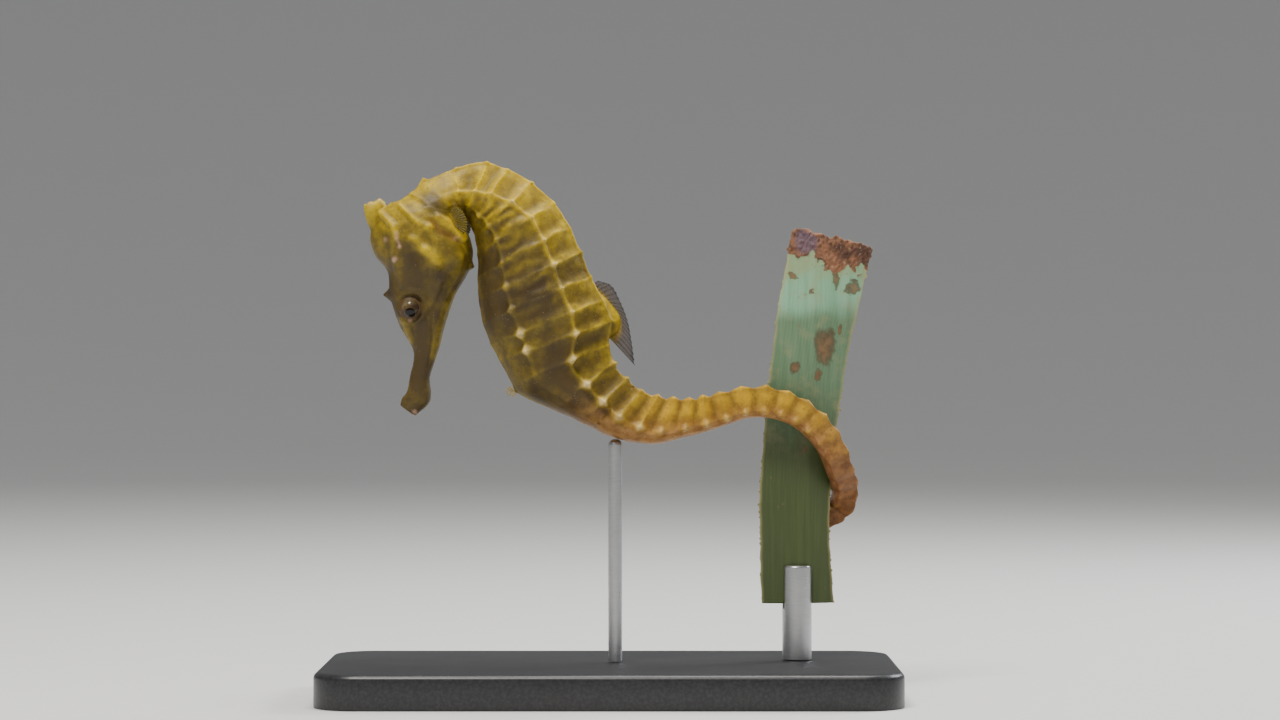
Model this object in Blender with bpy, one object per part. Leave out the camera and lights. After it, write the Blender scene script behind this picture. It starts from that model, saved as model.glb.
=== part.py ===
"""White's seahorse, life size, holding a cut length of strap seagrass on a plain display stand.

Sizes are in millimetres until a mesh is written, which is in metres.
+X runs from the snout towards the perch, +Z is up and the animal's left side faces -Y.
The body is one run of cross-sections, numbered by bony ring: 0 is the nape, 1 to 11 are the rings
of the trunk, 12 to 43 those of the tail, and negative numbers run down the head to the mouth.
"""
import math

import bmesh
import bpy
import numpy as np
from mathutils import Vector
from mathutils.bvhtree import BVHTree

MM = 0.001                      # one millimetre in metres
CUT = 0.16                      # width of the thin cuts between one named piece and the next

# Stand
BASE_SIZE = (66.0, 34.0, 4.0)
BASE_MIDDLE = (0.0, 0.0)
BASE_CORNER = 5.0
BASE_BEVEL = 0.7
ROD_RADIUS = 0.8
BODY_ROD_X = 0.6
ROD_CLEARANCE = 0.21            # gap between the rod's dome and the pouch
ROD_CHAMFER = 0.3
PERCH_ROD_RADIUS = 1.7
PERCH_ROD_TOP = 15.0
SLOT_DEPTH = 5.0

# Perch: a strap leaf that leans and widens slowly as it rises
LEAF_BOTTOM = 10.6
LEAF_TOP_LEFT = 54.1
LEAF_TOP_RIGHT = 52.4
LEAF_MIDDLE_X = 21.35
LEAF_LEAN = 4.3
LEAF_WIDTH = 8.15
LEAF_SPREAD = 1.75
LEAF_Y = 2.95
LEAF_YAW = 0.147                # how far the leaf goes back for each millimetre to the right
LEAF_HOLLOW = 0.4               # how far its edges lie behind its middle
LEAF_THICK = 0.9
LEAF_WAIST = 22.0               # height where it is upright and narrowest
LEAF_BEND_OVER = 30.0

# Head: station, front edge (x, z), back edge (x, z), half width
HEAD = (
    (-10.0, (-24.1, 33.7), (-22.3, 32.4), 0.75),
    (-9.4, (-23.9, 34.4), (-20.8, 33.8), 1.15),
    (-8.9, (-23.4, 35.0), (-20.6, 34.9), 1.20),
    (-8.0, (-23.0, 36.8), (-20.7, 36.8), 1.05),
    (-7.0, (-22.6, 39.7), (-20.0, 39.6), 1.20),
    (-6.0, (-24.1, 42.5), (-19.0, 42.6), 1.85),
    (-5.0, (-25.3, 46.0), (-17.8, 46.2), 2.35),
    (-4.0, (-25.7, 49.2), (-16.1, 49.3), 3.40),
    (-3.5, (-26.9, 50.6), (-15.75, 50.9), 3.80),
    (-3.0, (-27.5, 52.3), (-16.0, 52.5), 4.00),
    (-2.0, (-26.9, 55.1), (-17.2, 54.6), 3.75),
    (-1.0, (-25.4, 56.7), (-17.5, 55.5), 3.35),
    (0.0, (-23.6, 57.6), (-17.4, 55.7), 2.95),
    (0.5, (-21.2, 59.3), (-17.3, 55.8), 2.60),
)

# Rings: number, back edge (x, z), belly edge (x, z), half width
RINGS = (
    (1.0, (-17.7, 60.7), (-17.2, 55.8), 2.40),
    (3.0, (-11.8, 60.6), (-15.9, 53.8), 3.10),
    (5.0, (-6.4, 56.7), (-15.3, 50.7), 3.80),
    (7.0, (-3.3, 51.0), (-15.2, 45.5), 4.20),
    (8.0, (-2.2, 48.3), (-14.7, 42.9), 4.25),
    (9.0, (-0.8, 45.5), (-13.8, 40.5), 4.15),
    (10.0, (0.1, 43.1), (-12.8, 38.6), 3.95),
    (11.0, (-0.2, 40.6), (-11.3, 35.9), 3.65),
    (11.4, (0.0, 39.8), (-10.75, 34.9), 3.50),
    (12.0, (0.4, 38.3), (-6.6, 33.0), 3.15),
    (13.0, (1.9, 36.5), (-3.3, 31.5), 2.70),
    (14.0, (3.6, 35.2), (-0.7, 30.2), 2.40),
    (15.0, (5.5, 34.5), (2.3, 29.3), 2.20),
    (16.0, (7.3, 34.3), (5.3, 29.1), 2.10),
    (17.0, (9.1, 34.2), (8.4, 29.8), 2.00),
    (18.0, (10.9, 34.4), (11.0, 30.5), 1.90),
    (19.0, (12.7, 34.9), (13.3, 31.2), 1.80),
)

# Free tail: ring, middle (x, z); its height and width are worked out below
TAIL_AXIS = (
    (20.0, (15.4, 33.7)),
    (21.0, (17.8, 33.8)),
    (23.0, (21.8, 32.5)),
    (25.0, (24.8, 29.6)),
    (27.0, (26.3, 26.3)),
    (29.0, (27.15, 23.6)),
    (30.0, (27.05, 22.4)),
    (31.0, (26.3, 21.6)),
)
TAIL_STEP_RING = 19.0           # the last ring that is set by its two edges
TAIL_HEIGHTS = ((19.0, 1.87), (21.0, 1.76), (25.0, 1.62), (31.0, 1.38), (37.0, 1.00), (43.0, 0.45))
TAIL_WIDTH_SHARE = 0.92
WRAP_FROM = 26.3                # ring where the tail starts to turn round the leaf's edge
CURL_FROM = 31.0
TAIL_RINGS_END = 43.0
CURL_MIDDLE = (23.2, 24.0)
CURL_TIP_RADIUS = 1.5
CURL_TURN = math.radians(-285.0)

# Where the side ridge runs, as a share of the depth from the back edge, ring by ring
SIDE_RIDGE = ((-1, 0.50), (1, 0.46), (3, 0.42), (5, 0.29), (7, 0.26), (9, 0.27), (10.5, 0.33),
              (12, 0.44), (13, 0.52), (14, 0.60), (15, 0.68), (16, 0.74), (17, 0.85), (18, 0.92),
              (19, 0.96), (20, 0.985))
UPPER_RIDGE_WIDTH = ((0, 0.50), (4, 0.34), (8, 0.30), (11, 0.40), (14, 0.66), (18, 0.80))
LOWER_RIDGE_WIDTH = ((0, 0.86), (5, 0.88), (10, 0.86), (12, 0.93), (15, 0.88), (18, 0.55))
RING_VALLEY = 0.16              # how far the skin sinks between two rings
TUBERCLE = 0.30                 # how far a ridge stands up where a ring crosses it
TALL_TUBERCLES = (1, 4, 7, 12, 15, 18, 21)

EYE_PLACE = (-22.8, 44.7)
EYE_SIDE = 1.72
EYE_RADIUS = 1.28
NAPE_SPINE = (-21.6, 0.0, 59.2)
FIN_THICK = 0.5
DORSAL_BASE_RINGS = (8.1, 10.9)
DORSAL_BASE_LIFT = 0.32
DORSAL_MARGIN = ((-1.1, 48.0), (0.3, 47.5), (1.2, 45.6), (2.0, 43.4), (2.45, 40.9), (3.0, 37.95))
DORSAL_TRAILING = ((2.1, 39.2), (1.4, 40.2), (0.8, 40.6))
ANAL_OUTLINE = ((-11.35, 35.6), (-11.7, 35.1), (-11.75, 34.65), (-11.35, 34.3), (-10.9, 34.35),
                (-10.65, 34.7))
PECTORAL_ROOT = (-17.9, 3.75, 54.4)     # x, distance from the middle plane, z
PECTORAL_REACH = 2.3
PECTORAL_TILT = math.radians(28)        # how far the fan stands out from the neck

# Bumps on the head: place (x, distance from the middle plane, z), radius, height, direction
HEAD_BUMPS = (
    ((EYE_PLACE[0], 2.2, EYE_PLACE[1]), 2.3, 0.55, (-0.05, 1.0, 0.05)),     # orbit
    ((-19.5, 3.7, 51.0), 2.6, 0.35, (0.2, 1.0, 0.0)),                       # gill cover
    ((-16.6, 1.2, 49.9), 0.9, 0.50, (1.0, 0.5, -0.3)),                      # throat spine
    ((-23.9, 1.7, 48.2), 1.1, 0.35, (-0.6, 1.0, 0.4)),                      # cheek
)
NOSE_BUMP = ((-25.3, 0.0, 46.2), 1.0, 0.8, (-1.0, 0.0, 0.05))

# Coronet: its foot and tip on the middle plane, then height share, radius and how far its points stand out
CORONET_FOOT = (-26.6, 0.0, 55.0)
CORONET_TIP = (-27.35, 0.0, 56.75)
CORONET_POINTS = 5
CORONET_LEVELS = ((0.0, 0.4, 0.0), (0.0, 1.0, 0.0), (0.45, 0.85, 0.08), (0.8, 0.9, 0.2), (1.0, 0.95, 0.28))
CORONET_LENGTHEN = 1.12
CORONET_POINT_RISE = 0.2

# Millimetres of body to one ring, which turn the width of a cut into a share of a ring
HEAD_RING = 3.0
TRUNK_RING = 2.7
POUCH_RING = 2.5
TAIL_RING = 2.2


def curve_through(rows, column, at):
    """Smooth curve through the chosen column of a table whose first column is the parameter."""
    knots = np.array([row[0] for row in rows], float)
    values = np.array([row[column] for row in rows], float)
    i = int(np.clip(np.searchsorted(knots, at, side="right") - 1, 0, len(knots) - 2))
    slopes = np.gradient(values, knots, axis=0)
    span = knots[i + 1] - knots[i]
    t = (at - knots[i]) / span
    return ((2 * t**3 - 3 * t**2 + 1) * values[i] + (t**3 - 2 * t**2 + t) * span * slopes[i]
            + (3 * t**2 - 2 * t**3) * values[i + 1] + (t**3 - t**2) * span * slopes[i + 1])


def ramp(pairs, at):
    return float(np.interp(at, [p[0] for p in pairs], [p[1] for p in pairs]))


def smooth_step(a, b, x):
    t = min(max((x - a) / (b - a), 0.0), 1.0)
    return t * t * (3 - 2 * t)


def leaf_middle(z):
    """Middle and width of the leaf at a height."""
    risen = (z - LEAF_WAIST) / LEAF_BEND_OVER
    lean = 0.35 * max(risen, 0.0) + 0.65 * risen * risen
    return LEAF_MIDDLE_X + LEAF_LEAN * lean, LEAF_WIDTH + LEAF_SPREAD * lean


def leaf_depth(offset, share):
    """Place in y of the leaf's middle sheet, by the distance and the share from its middle line."""
    return LEAF_Y + LEAF_YAW * offset + LEAF_HOLLOW * share * share


def leaf_back(x):
    offset = min(x - LEAF_MIDDLE_X, LEAF_WIDTH / 2)
    return leaf_depth(offset, 2 * offset / LEAF_WIDTH) + LEAF_THICK / 2


def tail_middle(ring):
    """Middle of the free tail, which passes in front of the leaf and curls behind it."""
    if ring <= CURL_FROM:
        x, z = curve_through(TAIL_AXIS, 1, ring)
    else:
        start = np.array(TAIL_AXIS[-1][1]) - np.array(CURL_MIDDLE)
        turned = (ring - CURL_FROM) / (TAIL_RINGS_END - CURL_FROM)
        eased = turned * (1.3 - 0.3 * turned)
        radius = np.hypot(*start) * (1 - eased) + CURL_TIP_RADIUS * eased
        angle = math.atan2(start[1], start[0]) + CURL_TURN * eased
        x = CURL_MIDDLE[0] + radius * math.cos(angle)
        z = CURL_MIDDLE[1] + radius * math.sin(angle)
    behind = leaf_back(x) + 0.3 + TAIL_WIDTH_SHARE * ramp(TAIL_HEIGHTS, ring)
    return np.array([x, behind * smooth_step(WRAP_FROM, CURL_FROM + 0.2, ring), z])


def station(ring):
    """Middle, direction of the back, direction of the side, half depth and half width."""
    if ring <= TAIL_STEP_RING:
        table = HEAD + RINGS
        back = curve_through(table, 1, ring)
        belly = curve_through(table, 2, ring)
        width = float(curve_through(table, 3, ring))
        middle = (back + belly) / 2
        depth = float(np.hypot(*(back - belly))) / 2
        up = (back - belly) / (2 * depth)
        return np.array([middle[0], 0, middle[1]]), np.array([up[0], 0, up[1]]), \
            np.array([0.0, 1.0, 0.0]), depth, width
    middle = tail_middle(ring)
    along = tail_middle(min(ring + 0.2, TAIL_RINGS_END)) - tail_middle(ring - 0.2)
    along /= np.linalg.norm(along)
    up = np.cross(along, (0.0, 1.0, 0.0))
    up /= np.linalg.norm(up)
    depth = ramp(TAIL_HEIGHTS, ring)
    return middle, up, np.cross(up, along), depth, depth * TAIL_WIDTH_SHARE


def half_profile(ring):
    """Thirteen corners of the left half section, from the back (0) to the belly (12)."""
    ridge = 1 - 2 * ramp(SIDE_RIDGE, ring)
    upper = ramp(UPPER_RIDGE_WIDTH, ring)
    lower = ramp(LOWER_RIDGE_WIDTH, ring)
    tail = smooth_step(13, 18, ring)
    side = 1.0 - 0.12 * tail
    low = ridge + (-1 - ridge) * 0.62
    keel = -1.0 + 0.05 * smooth_step(17, 19, ring)
    corners = ((0, 0.965 - 0.05 * tail, 0.0), (2, 1.0, upper), (5, ridge, side), (8, low, lower),
               (12, keel, 0.0))
    index = np.arange(13)
    u = np.interp(index, [c[0] for c in corners], [c[1] for c in corners])
    w = np.interp(index, [c[0] for c in corners], [c[2] for c in corners])
    swell = 0.10 * (1 - 0.7 * tail)
    for a, b in ((2, 5), (5, 8), (8, 12)):
        inside = (index - a) / (b - a)
        bow = np.where((inside > 0) & (inside < 1), np.sin(np.pi * np.clip(inside, 0, 1)), 0)
        w += swell * bow * (0.5 if b == 8 else 1.0)
        if b == 12:
            u -= 0.6 * swell * bow
    return u, w


def head_profile(fullness=2.3):
    angle = np.arange(13) * math.pi / 12
    u = np.sign(np.cos(angle)) * np.abs(np.cos(angle)) ** (2 / fullness)
    w = np.abs(np.sin(angle)) ** (2 / fullness)
    return u, w


def section(ring, first=0, last=12, lift=0.0):
    """World points of the section from corner first to corner last and back on the other side."""
    middle, up, side, depth, width = station(ring)
    head_u, head_w = head_profile()
    ring_u, ring_w = half_profile(max(ring, -1))
    blend = smooth_step(-1.0, 1.5, ring)
    u = head_u * (1 - blend) + ring_u * blend
    w = head_w * (1 - blend) + ring_w * blend
    ringness = smooth_step(0.0, 2.0, ring)
    between = 0.5 - 0.5 * math.cos(2 * math.pi * ring)
    fade = min(1.0, depth / 2.0)
    u_mm = u * (depth - RING_VALLEY * between * ringness * fade)
    w_mm = w * (width - RING_VALLEY * between * ringness * fade)
    on_ring = ringness * (1 - between) ** 2 * fade
    tall = 1.6 if round(ring) in TALL_TUBERCLES else 1.0
    for corner in (2, 5, 8):
        grown = TUBERCLE * on_ring * (tall if corner == 2 else 1.0)
        if corner == 8:
            grown *= 1 - smooth_step(11, 12, ring)
        size = math.hypot(u_mm[corner], w_mm[corner]) or 1.0
        u_mm[corner] += grown * u_mm[corner] / size
        w_mm[corner] += grown * w_mm[corner] / size
    u_mm = u_mm - lift
    left = [middle + up * u_mm[i] - side * w_mm[i] for i in range(first, last + 1)]
    right = [middle + up * u_mm[i] + side * w_mm[i] for i in range(last, first - 1, -1)]
    if last == 12:
        right = right[1:]
    if first == 0:
        right = right[:-1]
    return left + right


def material(name, colour, roughness=0.5, metallic=0.0):
    found = bpy.data.materials.get(name)
    if found:
        return found
    made = bpy.data.materials.new(name)
    made.use_nodes = True
    shader = made.node_tree.nodes["Principled BSDF"]
    shader.inputs["Base Color"].default_value = (*colour, 1.0)
    shader.inputs["Roughness"].default_value = roughness
    shader.inputs["Metallic"].default_value = metallic
    return made


def finish(name, mesh_data, surface, parent, smooth=True):
    """Turn a bmesh in millimetres into a named object in metres."""
    bmesh.ops.scale(mesh_data, vec=(MM, MM, MM), verts=mesh_data.verts)
    bmesh.ops.recalc_face_normals(mesh_data, faces=mesh_data.faces)
    mesh = bpy.data.meshes.new(name)
    mesh_data.to_mesh(mesh)
    mesh_data.free()
    thing = bpy.data.objects.new(name, mesh)
    bpy.context.scene.collection.objects.link(thing)
    thing.data.materials.append(surface)
    thing.parent = parent
    if smooth:
        mesh.shade_smooth()
        mesh.set_sharp_from_angle(angle=math.radians(40))
    return thing


def skin_rows(rows, tip=None):
    """Closed solid through rows of equal length; a fan closes each end about its middle or the tip."""
    made = bmesh.new()
    loops = [[made.verts.new(Vector(p)) for p in row] for row in rows]
    count = len(rows[0])
    for near, far in zip(loops, loops[1:]):
        for i in range(count):
            j = (i + 1) % count
            made.faces.new((near[i], near[j], far[j], far[i]))
    for loop, peak in ((loops[0], None), (loops[-1], tip)):
        middle = np.mean([v.co for v in loop], axis=0) if peak is None else peak
        hub = made.verts.new(Vector(middle))
        for i in range(count):
            made.faces.new((loop[i], loop[(i + 1) % count], hub))
    return made


def ring_rows(start, end, per_ring=2):
    """Stations between two cuts, with one on each ring and others between the rings."""
    inner = [k / per_ring for k in range(math.ceil(start * per_ring), int(end * per_ring) + 1)]
    inner = [s for s in inner if start + 0.15 < s < end - 0.15]
    return [start] + inner + [end]


def surface_of(thing):
    """Search tree of an object's own mesh, in metres."""
    return BVHTree.FromPolygons([v.co[:] for v in thing.data.vertices],
                                [p.vertices[:] for p in thing.data.polygons])


def push_out(made, centre, radius, height, direction=None):
    """Raise a smooth bump of the given radius and height about a point of a bmesh."""
    for vert in made.verts:
        away = (vert.co - Vector(centre)).length / radius
        if away < 1:
            rise = height * (1 - away * away) ** 2
            lean = Vector(direction).normalized() if direction else vert.normal
            vert.co += lean * rise


HIDE = material("skin_yellow", (0.42, 0.30, 0.05), 0.45)
BELLY = material("skin_brown", (0.20, 0.13, 0.05), 0.5)
BUFF = material("skin_orange", (0.45, 0.25, 0.09), 0.45)
FIN = material("fin_membrane", (0.30, 0.28, 0.20), 0.3)
EYE = material("eye", (0.05, 0.035, 0.02), 0.1)
LEAF = material("leaf_green", (0.12, 0.22, 0.11), 0.5)
BASE = material("stand_black", (0.03, 0.03, 0.032), 0.35)
ROD = material("stand_steel", (0.55, 0.55, 0.55), 0.3, 1.0)


def build_head(parent):
    """Head from the snout's root to the nape, with brow, cheek and throat spines and eye sockets."""
    cut = CUT / 2 / HEAD_RING
    steps = np.linspace(-7.0 + cut, -0.5 - cut, 30)
    made = skin_rows([section(s) for s in steps])
    bmesh.ops.recalc_face_normals(made, faces=made.faces)
    made.normal_update()
    for sign in (-1, 1):
        for (x, y, z), radius, height, (dx, dy, dz) in HEAD_BUMPS:
            push_out(made, (x, sign * y, z), radius, height, (dx, sign * dy, dz))
    push_out(made, *NOSE_BUMP)
    head = finish("head", made, HIDE, parent)
    for sign, side in ((-1, "left"), (1, "right")):
        bpy.ops.mesh.primitive_ico_sphere_add(subdivisions=3, radius=(EYE_RADIUS + CUT) * MM)
        cutter = bpy.context.object
        cutter.name = f"cut_socket_{side}"
        cutter.location = (EYE_PLACE[0] * MM, sign * EYE_SIDE * MM, EYE_PLACE[1] * MM)
        cutter.hide_render = True
        cutter.display_type = "WIRE"
        socket = head.modifiers.new(f"socket_{side}", "BOOLEAN")
        socket.operation = "DIFFERENCE"
        socket.object = cutter
    return head


def build_eyes(parent):
    for sign, side in ((-1, "left"), (1, "right")):
        bpy.ops.mesh.primitive_ico_sphere_add(subdivisions=3, radius=EYE_RADIUS * MM)
        eye = bpy.context.object
        eye.name = f"eye_{side}"
        eye.location = (EYE_PLACE[0] * MM, sign * EYE_SIDE * MM, EYE_PLACE[1] * MM)
        eye.data.materials.append(EYE)
        eye.data.shade_smooth()
        eye.parent = parent


def build_snout(parent):
    """Tube of the snout, flared at the mouth and closed by the small upturned lips."""
    root = -7.0 - CUT / 2 / HEAD_RING
    steps = (-10.0, -9.7, -9.4, -9.1, -8.8, -8.4, -8.0, -7.6, -7.3, root)
    finish("snout", skin_rows([section(s) for s in steps]), BELLY, parent)


def build_coronet(parent, head):
    """Low crown of five points that leans forward from the top of the head."""
    tree = surface_of(head)
    foot = Vector(CORONET_FOOT)
    tip = Vector(CORONET_TIP)
    tall = (tip - foot).length
    rise = (tip - foot) / tall
    across = Vector((0, 1, 0))
    fore = across.cross(rise).normalized()
    count = 2 * CORONET_POINTS
    rows = []
    for level, radius, spike in CORONET_LEVELS:
        row = []
        for k in range(count):
            turn = 2 * math.pi * k / count
            is_point = k % 2 == 0
            reach = radius * (1 + (spike if is_point else -0.6 * spike))
            out = fore * (math.cos(turn) * reach * CORONET_LENGTHEN) + across * (math.sin(turn) * reach)
            if level == 0.0:
                hit = tree.ray_cast((tip + rise * 2 + out) * MM, -rise)[0]
                row.append(hit / MM + rise * CUT)
            else:
                extra = CORONET_POINT_RISE if is_point and level == 1.0 else 0.0
                row.append(foot + out + rise * (level * tall + extra))
        rows.append(row)
    finish("coronet", skin_rows(rows), HIDE, parent, smooth=False)


def build_trunk(parent):
    """Neck and trunk in four lengths, with the spine at the nape."""
    cut = CUT / 2 / TRUNK_RING
    spans = (("neck", -0.5, 2.5), ("trunk_upper", 2.5, 5.5), ("trunk_middle", 5.5, 8.5),
             ("trunk_lower", 8.5, 11.5))
    for name, start, end in spans:
        made = skin_rows([section(s) for s in ring_rows(start + cut, end - cut, 3)])
        if name == "neck":
            push_out(made, NAPE_SPINE, 1.3, 0.6, (-0.4, 0, 0.9))
        finish(name, made, HIDE, parent)


def build_pouch(parent):
    """Flat brood pouch under the root of the tail, up to the side ridges."""
    cut = CUT / 2 / POUCH_RING
    rows = [section(s, first=5, lift=CUT) for s in ring_rows(11.5 + cut, 17.6, 2)]
    finish("pouch", skin_rows(rows), BELLY, parent)


def build_tail(parent):
    """Tail in lengths: square in section, over the pouch at first and then free."""
    cut = CUT / 2 / TAIL_RING
    spans = ((11.5, 14.5, 5), (14.5, 17.6, 5), (17.6, 21.5, 12), (21.5, 25.5, 12),
             (25.5, 29.5, 12), (29.5, 34.5, 12), (34.5, TAIL_RINGS_END, 12))
    kept_corners = (0, 2, 3, 5, 9, 12, 15, 19, 21, 22)      # enough for the free tail's square section
    for number, (start, end, last) in enumerate(spans, start=1):
        is_tip = end == TAIL_RINGS_END
        rows = []
        for s in ring_rows(start + cut, end if is_tip else end - cut, 2):
            full = section(s, last=last)
            rows.append([full[i] for i in kept_corners] if last == 12 else full)
        tip = None
        if is_tip:
            end_middle = np.mean(rows[-1], axis=0)
            tip = end_middle + 0.8 * (end_middle - np.mean(rows[-2], axis=0))
        finish(f"tail_{number}", skin_rows(rows, tip), BUFF, parent)


def plate(name, outline, thick, surface, parent, place=None):
    """Thin fin: a flat outline in x and z, tapered to a rounded edge and set upright at y = 0."""
    made = bmesh.new()
    middle = np.mean(outline, axis=0)
    sheets = []
    for y, inset in ((-thick / 2, 0.12), (0.0, 0.0), (thick / 2, 0.12)):
        sheet = []
        for x, z in outline:
            pull = (middle - np.array((x, z)))
            pull = pull / np.linalg.norm(pull) * inset
            sheet.append(made.verts.new((x + pull[0], y, z + pull[1])))
        sheets.append(sheet)
    count = len(outline)
    for near, far in zip(sheets, sheets[1:]):
        for i in range(count):
            j = (i + 1) % count
            made.faces.new((near[i], near[j], far[j], far[i]))
    made.faces.new(sheets[0])
    made.faces.new(sheets[-1][::-1])
    bmesh.ops.triangulate(made, faces=[f for f in made.faces if len(f.verts) > 4])
    if place:
        for vert in made.verts:
            vert.co = place(vert.co)
    finish(name, made, surface, parent)


def curve_points(points, count):
    """Points spaced evenly along a smooth curve through the given ones."""
    rows = [(float(i), p) for i, p in enumerate(points)]
    return [tuple(curve_through(rows, 1, t)) for t in np.linspace(0, len(points) - 1, count)]


def build_dorsal_fin(parent):
    """Dorsal fin: rises from rings 8 to 10 and sweeps back to a trailing tip."""
    base = []
    for ring in np.linspace(*DORSAL_BASE_RINGS, 9):
        middle, up, _, depth, _ = station(ring)
        edge = middle + up * (depth + DORSAL_BASE_LIFT)
        base.append((edge[0], edge[2]))
    outline = base + list(DORSAL_TRAILING[::-1]) + curve_points(DORSAL_MARGIN, 10)[::-1]
    plate("dorsal_fin", outline, FIN_THICK, FIN, parent)


def build_anal_fin(parent):
    """Tiny fin on the belly in front of the pouch."""
    plate("anal_fin", list(ANAL_OUTLINE), FIN_THICK, FIN, parent)


def build_pectoral_fins(parent):
    """Small fan behind each gill cover, standing a little out from the neck."""
    spread = np.linspace(math.radians(-75), math.radians(35), 7)
    outline = [(0.0, 0.45), (0.0, -0.45)]
    outline += [(PECTORAL_REACH * math.cos(a), PECTORAL_REACH * math.sin(a) * 0.8) for a in spread]
    for sign, side in ((-1, "left"), (1, "right")):

        def place(point, sign=sign):
            x = point.x * math.cos(PECTORAL_TILT) - point.y * math.sin(PECTORAL_TILT)
            y = point.x * math.sin(PECTORAL_TILT) + point.y * math.cos(PECTORAL_TILT)
            return Vector((PECTORAL_ROOT[0] + x, sign * (PECTORAL_ROOT[1] + y), PECTORAL_ROOT[2] + point.z))
        plate(f"pectoral_fin_{side}", outline, FIN_THICK, FIN, parent, place)


def build_leaf(parent):
    """Cut length of strap leaf, thick along its middle and slanted where it is cut off."""
    across = (-1.0, -0.8, -0.4, 0.0, 0.4, 0.8, 1.0)
    rows = []
    for level in np.linspace(0, 1, 15):
        row = []
        for face in (-1, 1):
            for t in across[1:-1][::face] if face == 1 else across[::-1]:
                top = LEAF_TOP_LEFT + (LEAF_TOP_RIGHT - LEAF_TOP_LEFT) * (t + 1) / 2
                z = LEAF_BOTTOM + (top - LEAF_BOTTOM) * level
                middle, width = leaf_middle(z)
                half = LEAF_THICK / 2 * (1 - 0.45 * t * t) if abs(t) < 1 else 0.0
                offset = t * width / 2
                row.append((middle + offset, leaf_depth(offset, t) + face * half, z))
        rows.append(row)
    finish("perch_leaf", skin_rows(rows), LEAF, parent)


def build_stand(parent):
    """Rounded base plate, a thin rod to the pouch and a slotted rod that holds the leaf."""
    long, deep, tall = BASE_SIZE
    made = bmesh.new()
    corners = []
    for cx, cy, start in ((1, 1, 0), (-1, 1, 90), (-1, -1, 180), (1, -1, 270)):
        for step in range(5):
            angle = math.radians(start + 22.5 * step)
            x = BASE_MIDDLE[0] + cx * (long / 2 - BASE_CORNER) + BASE_CORNER * math.cos(angle)
            y = BASE_MIDDLE[1] + cy * (deep / 2 - BASE_CORNER) + BASE_CORNER * math.sin(angle)
            corners.append((x, y))
    bottom = made.faces.new([made.verts.new((x, y, 0)) for x, y in corners])
    top = bmesh.ops.extrude_face_region(made, geom=[bottom])
    raised = [v for v in top["geom"] if isinstance(v, bmesh.types.BMVert)]
    bmesh.ops.translate(made, vec=(0, 0, tall), verts=raised)
    rim = [e for e in made.edges if all(abs(v.co.z - tall) < 1e-6 for v in e.verts)]
    bmesh.ops.bevel(made, geom=rim, offset=BASE_BEVEL, segments=2, profile=0.5, affect="EDGES")
    finish("stand_base", made, BASE, parent)

    pouch_floor = lowest_under(BODY_ROD_X)
    rod = turned(ROD_RADIUS, tall + CUT, pouch_floor - ROD_CLEARANCE)
    bmesh.ops.translate(rod, vec=(BODY_ROD_X, 0, 0), verts=rod.verts)
    finish("stand_rod_body", rod, ROD, parent)

    holder = turned(PERCH_ROD_RADIUS, tall + CUT, PERCH_ROD_TOP, domed=False)
    holder_x = leaf_middle(PERCH_ROD_TOP - SLOT_DEPTH / 2)[0]
    bmesh.ops.translate(holder, vec=(holder_x, LEAF_Y, 0), verts=holder.verts)
    perch_rod = finish("stand_rod_perch", holder, ROD, parent)
    bpy.ops.mesh.primitive_cube_add(size=1.0)
    slot = bpy.context.object
    slot.name = "cut_slot"
    slot.scale = (4 * PERCH_ROD_RADIUS * MM, (LEAF_THICK + 2 * CUT) * MM, 2 * SLOT_DEPTH * MM)
    slot.location = (holder_x * MM, LEAF_Y * MM, PERCH_ROD_TOP * MM)
    slot.rotation_euler = (0, 0, math.atan(LEAF_YAW))
    slot.hide_render = True
    slot.display_type = "WIRE"
    opened = perch_rod.modifiers.new("slot", "BOOLEAN")
    opened.operation = "DIFFERENCE"
    opened.object = slot


def lowest_under(x):
    """Height of the pouch's underside above a point of the middle plane."""
    best = min(np.linspace(11.6, 17.5, 120), key=lambda s: abs(section(s)[12][0] - x))
    return section(best)[12][2]


def turned(radius, foot, top, domed=True, sides=16):
    """Upright rod about the z axis, with a domed or a chamfered top."""
    profile = [(radius, foot)]
    if domed:
        profile += [(radius * math.cos(a), top - radius + radius * math.sin(a))
                    for a in np.radians((0, 30, 60))]
    else:
        profile += [(radius, top - ROD_CHAMFER), (radius - ROD_CHAMFER, top)]
    turns = [2 * math.pi * k / sides for k in range(sides)]
    rows = [[(r * math.cos(turn), r * math.sin(turn), z) for turn in turns] for r, z in profile]
    return skin_rows(rows, tip=(0.0, 0.0, top))


def main():
    for thing in list(bpy.data.objects):
        bpy.data.objects.remove(thing, do_unlink=True)
    animal = bpy.data.objects.new("seahorse", None)
    stand = bpy.data.objects.new("stand", None)
    for holder in (animal, stand):
        bpy.context.scene.collection.objects.link(holder)
    head = build_head(animal)
    build_eyes(animal)
    build_snout(animal)
    build_coronet(animal, head)
    build_trunk(animal)
    build_pouch(animal)
    build_tail(animal)
    build_dorsal_fin(animal)
    build_anal_fin(animal)
    build_pectoral_fins(animal)
    build_leaf(stand)
    build_stand(stand)


main()
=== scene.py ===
# %% [markdown]
# # A life-size seahorse on a display stand
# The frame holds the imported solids: the body in named lengths, the fins, a cut leaf and the stand.
# Each is dressed here in a finer piece of the same size, and one skin goes over all the flesh.
# That skin could be sculpted by hand, remeshed from the solids, or wound from cross-sections.
# Sections are wound here, because every ring, ridge and tubercle then has a known place on it.

# %% Load the frame
import math

import bmesh
import bpy
import numpy as np
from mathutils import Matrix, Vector, noise


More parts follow.
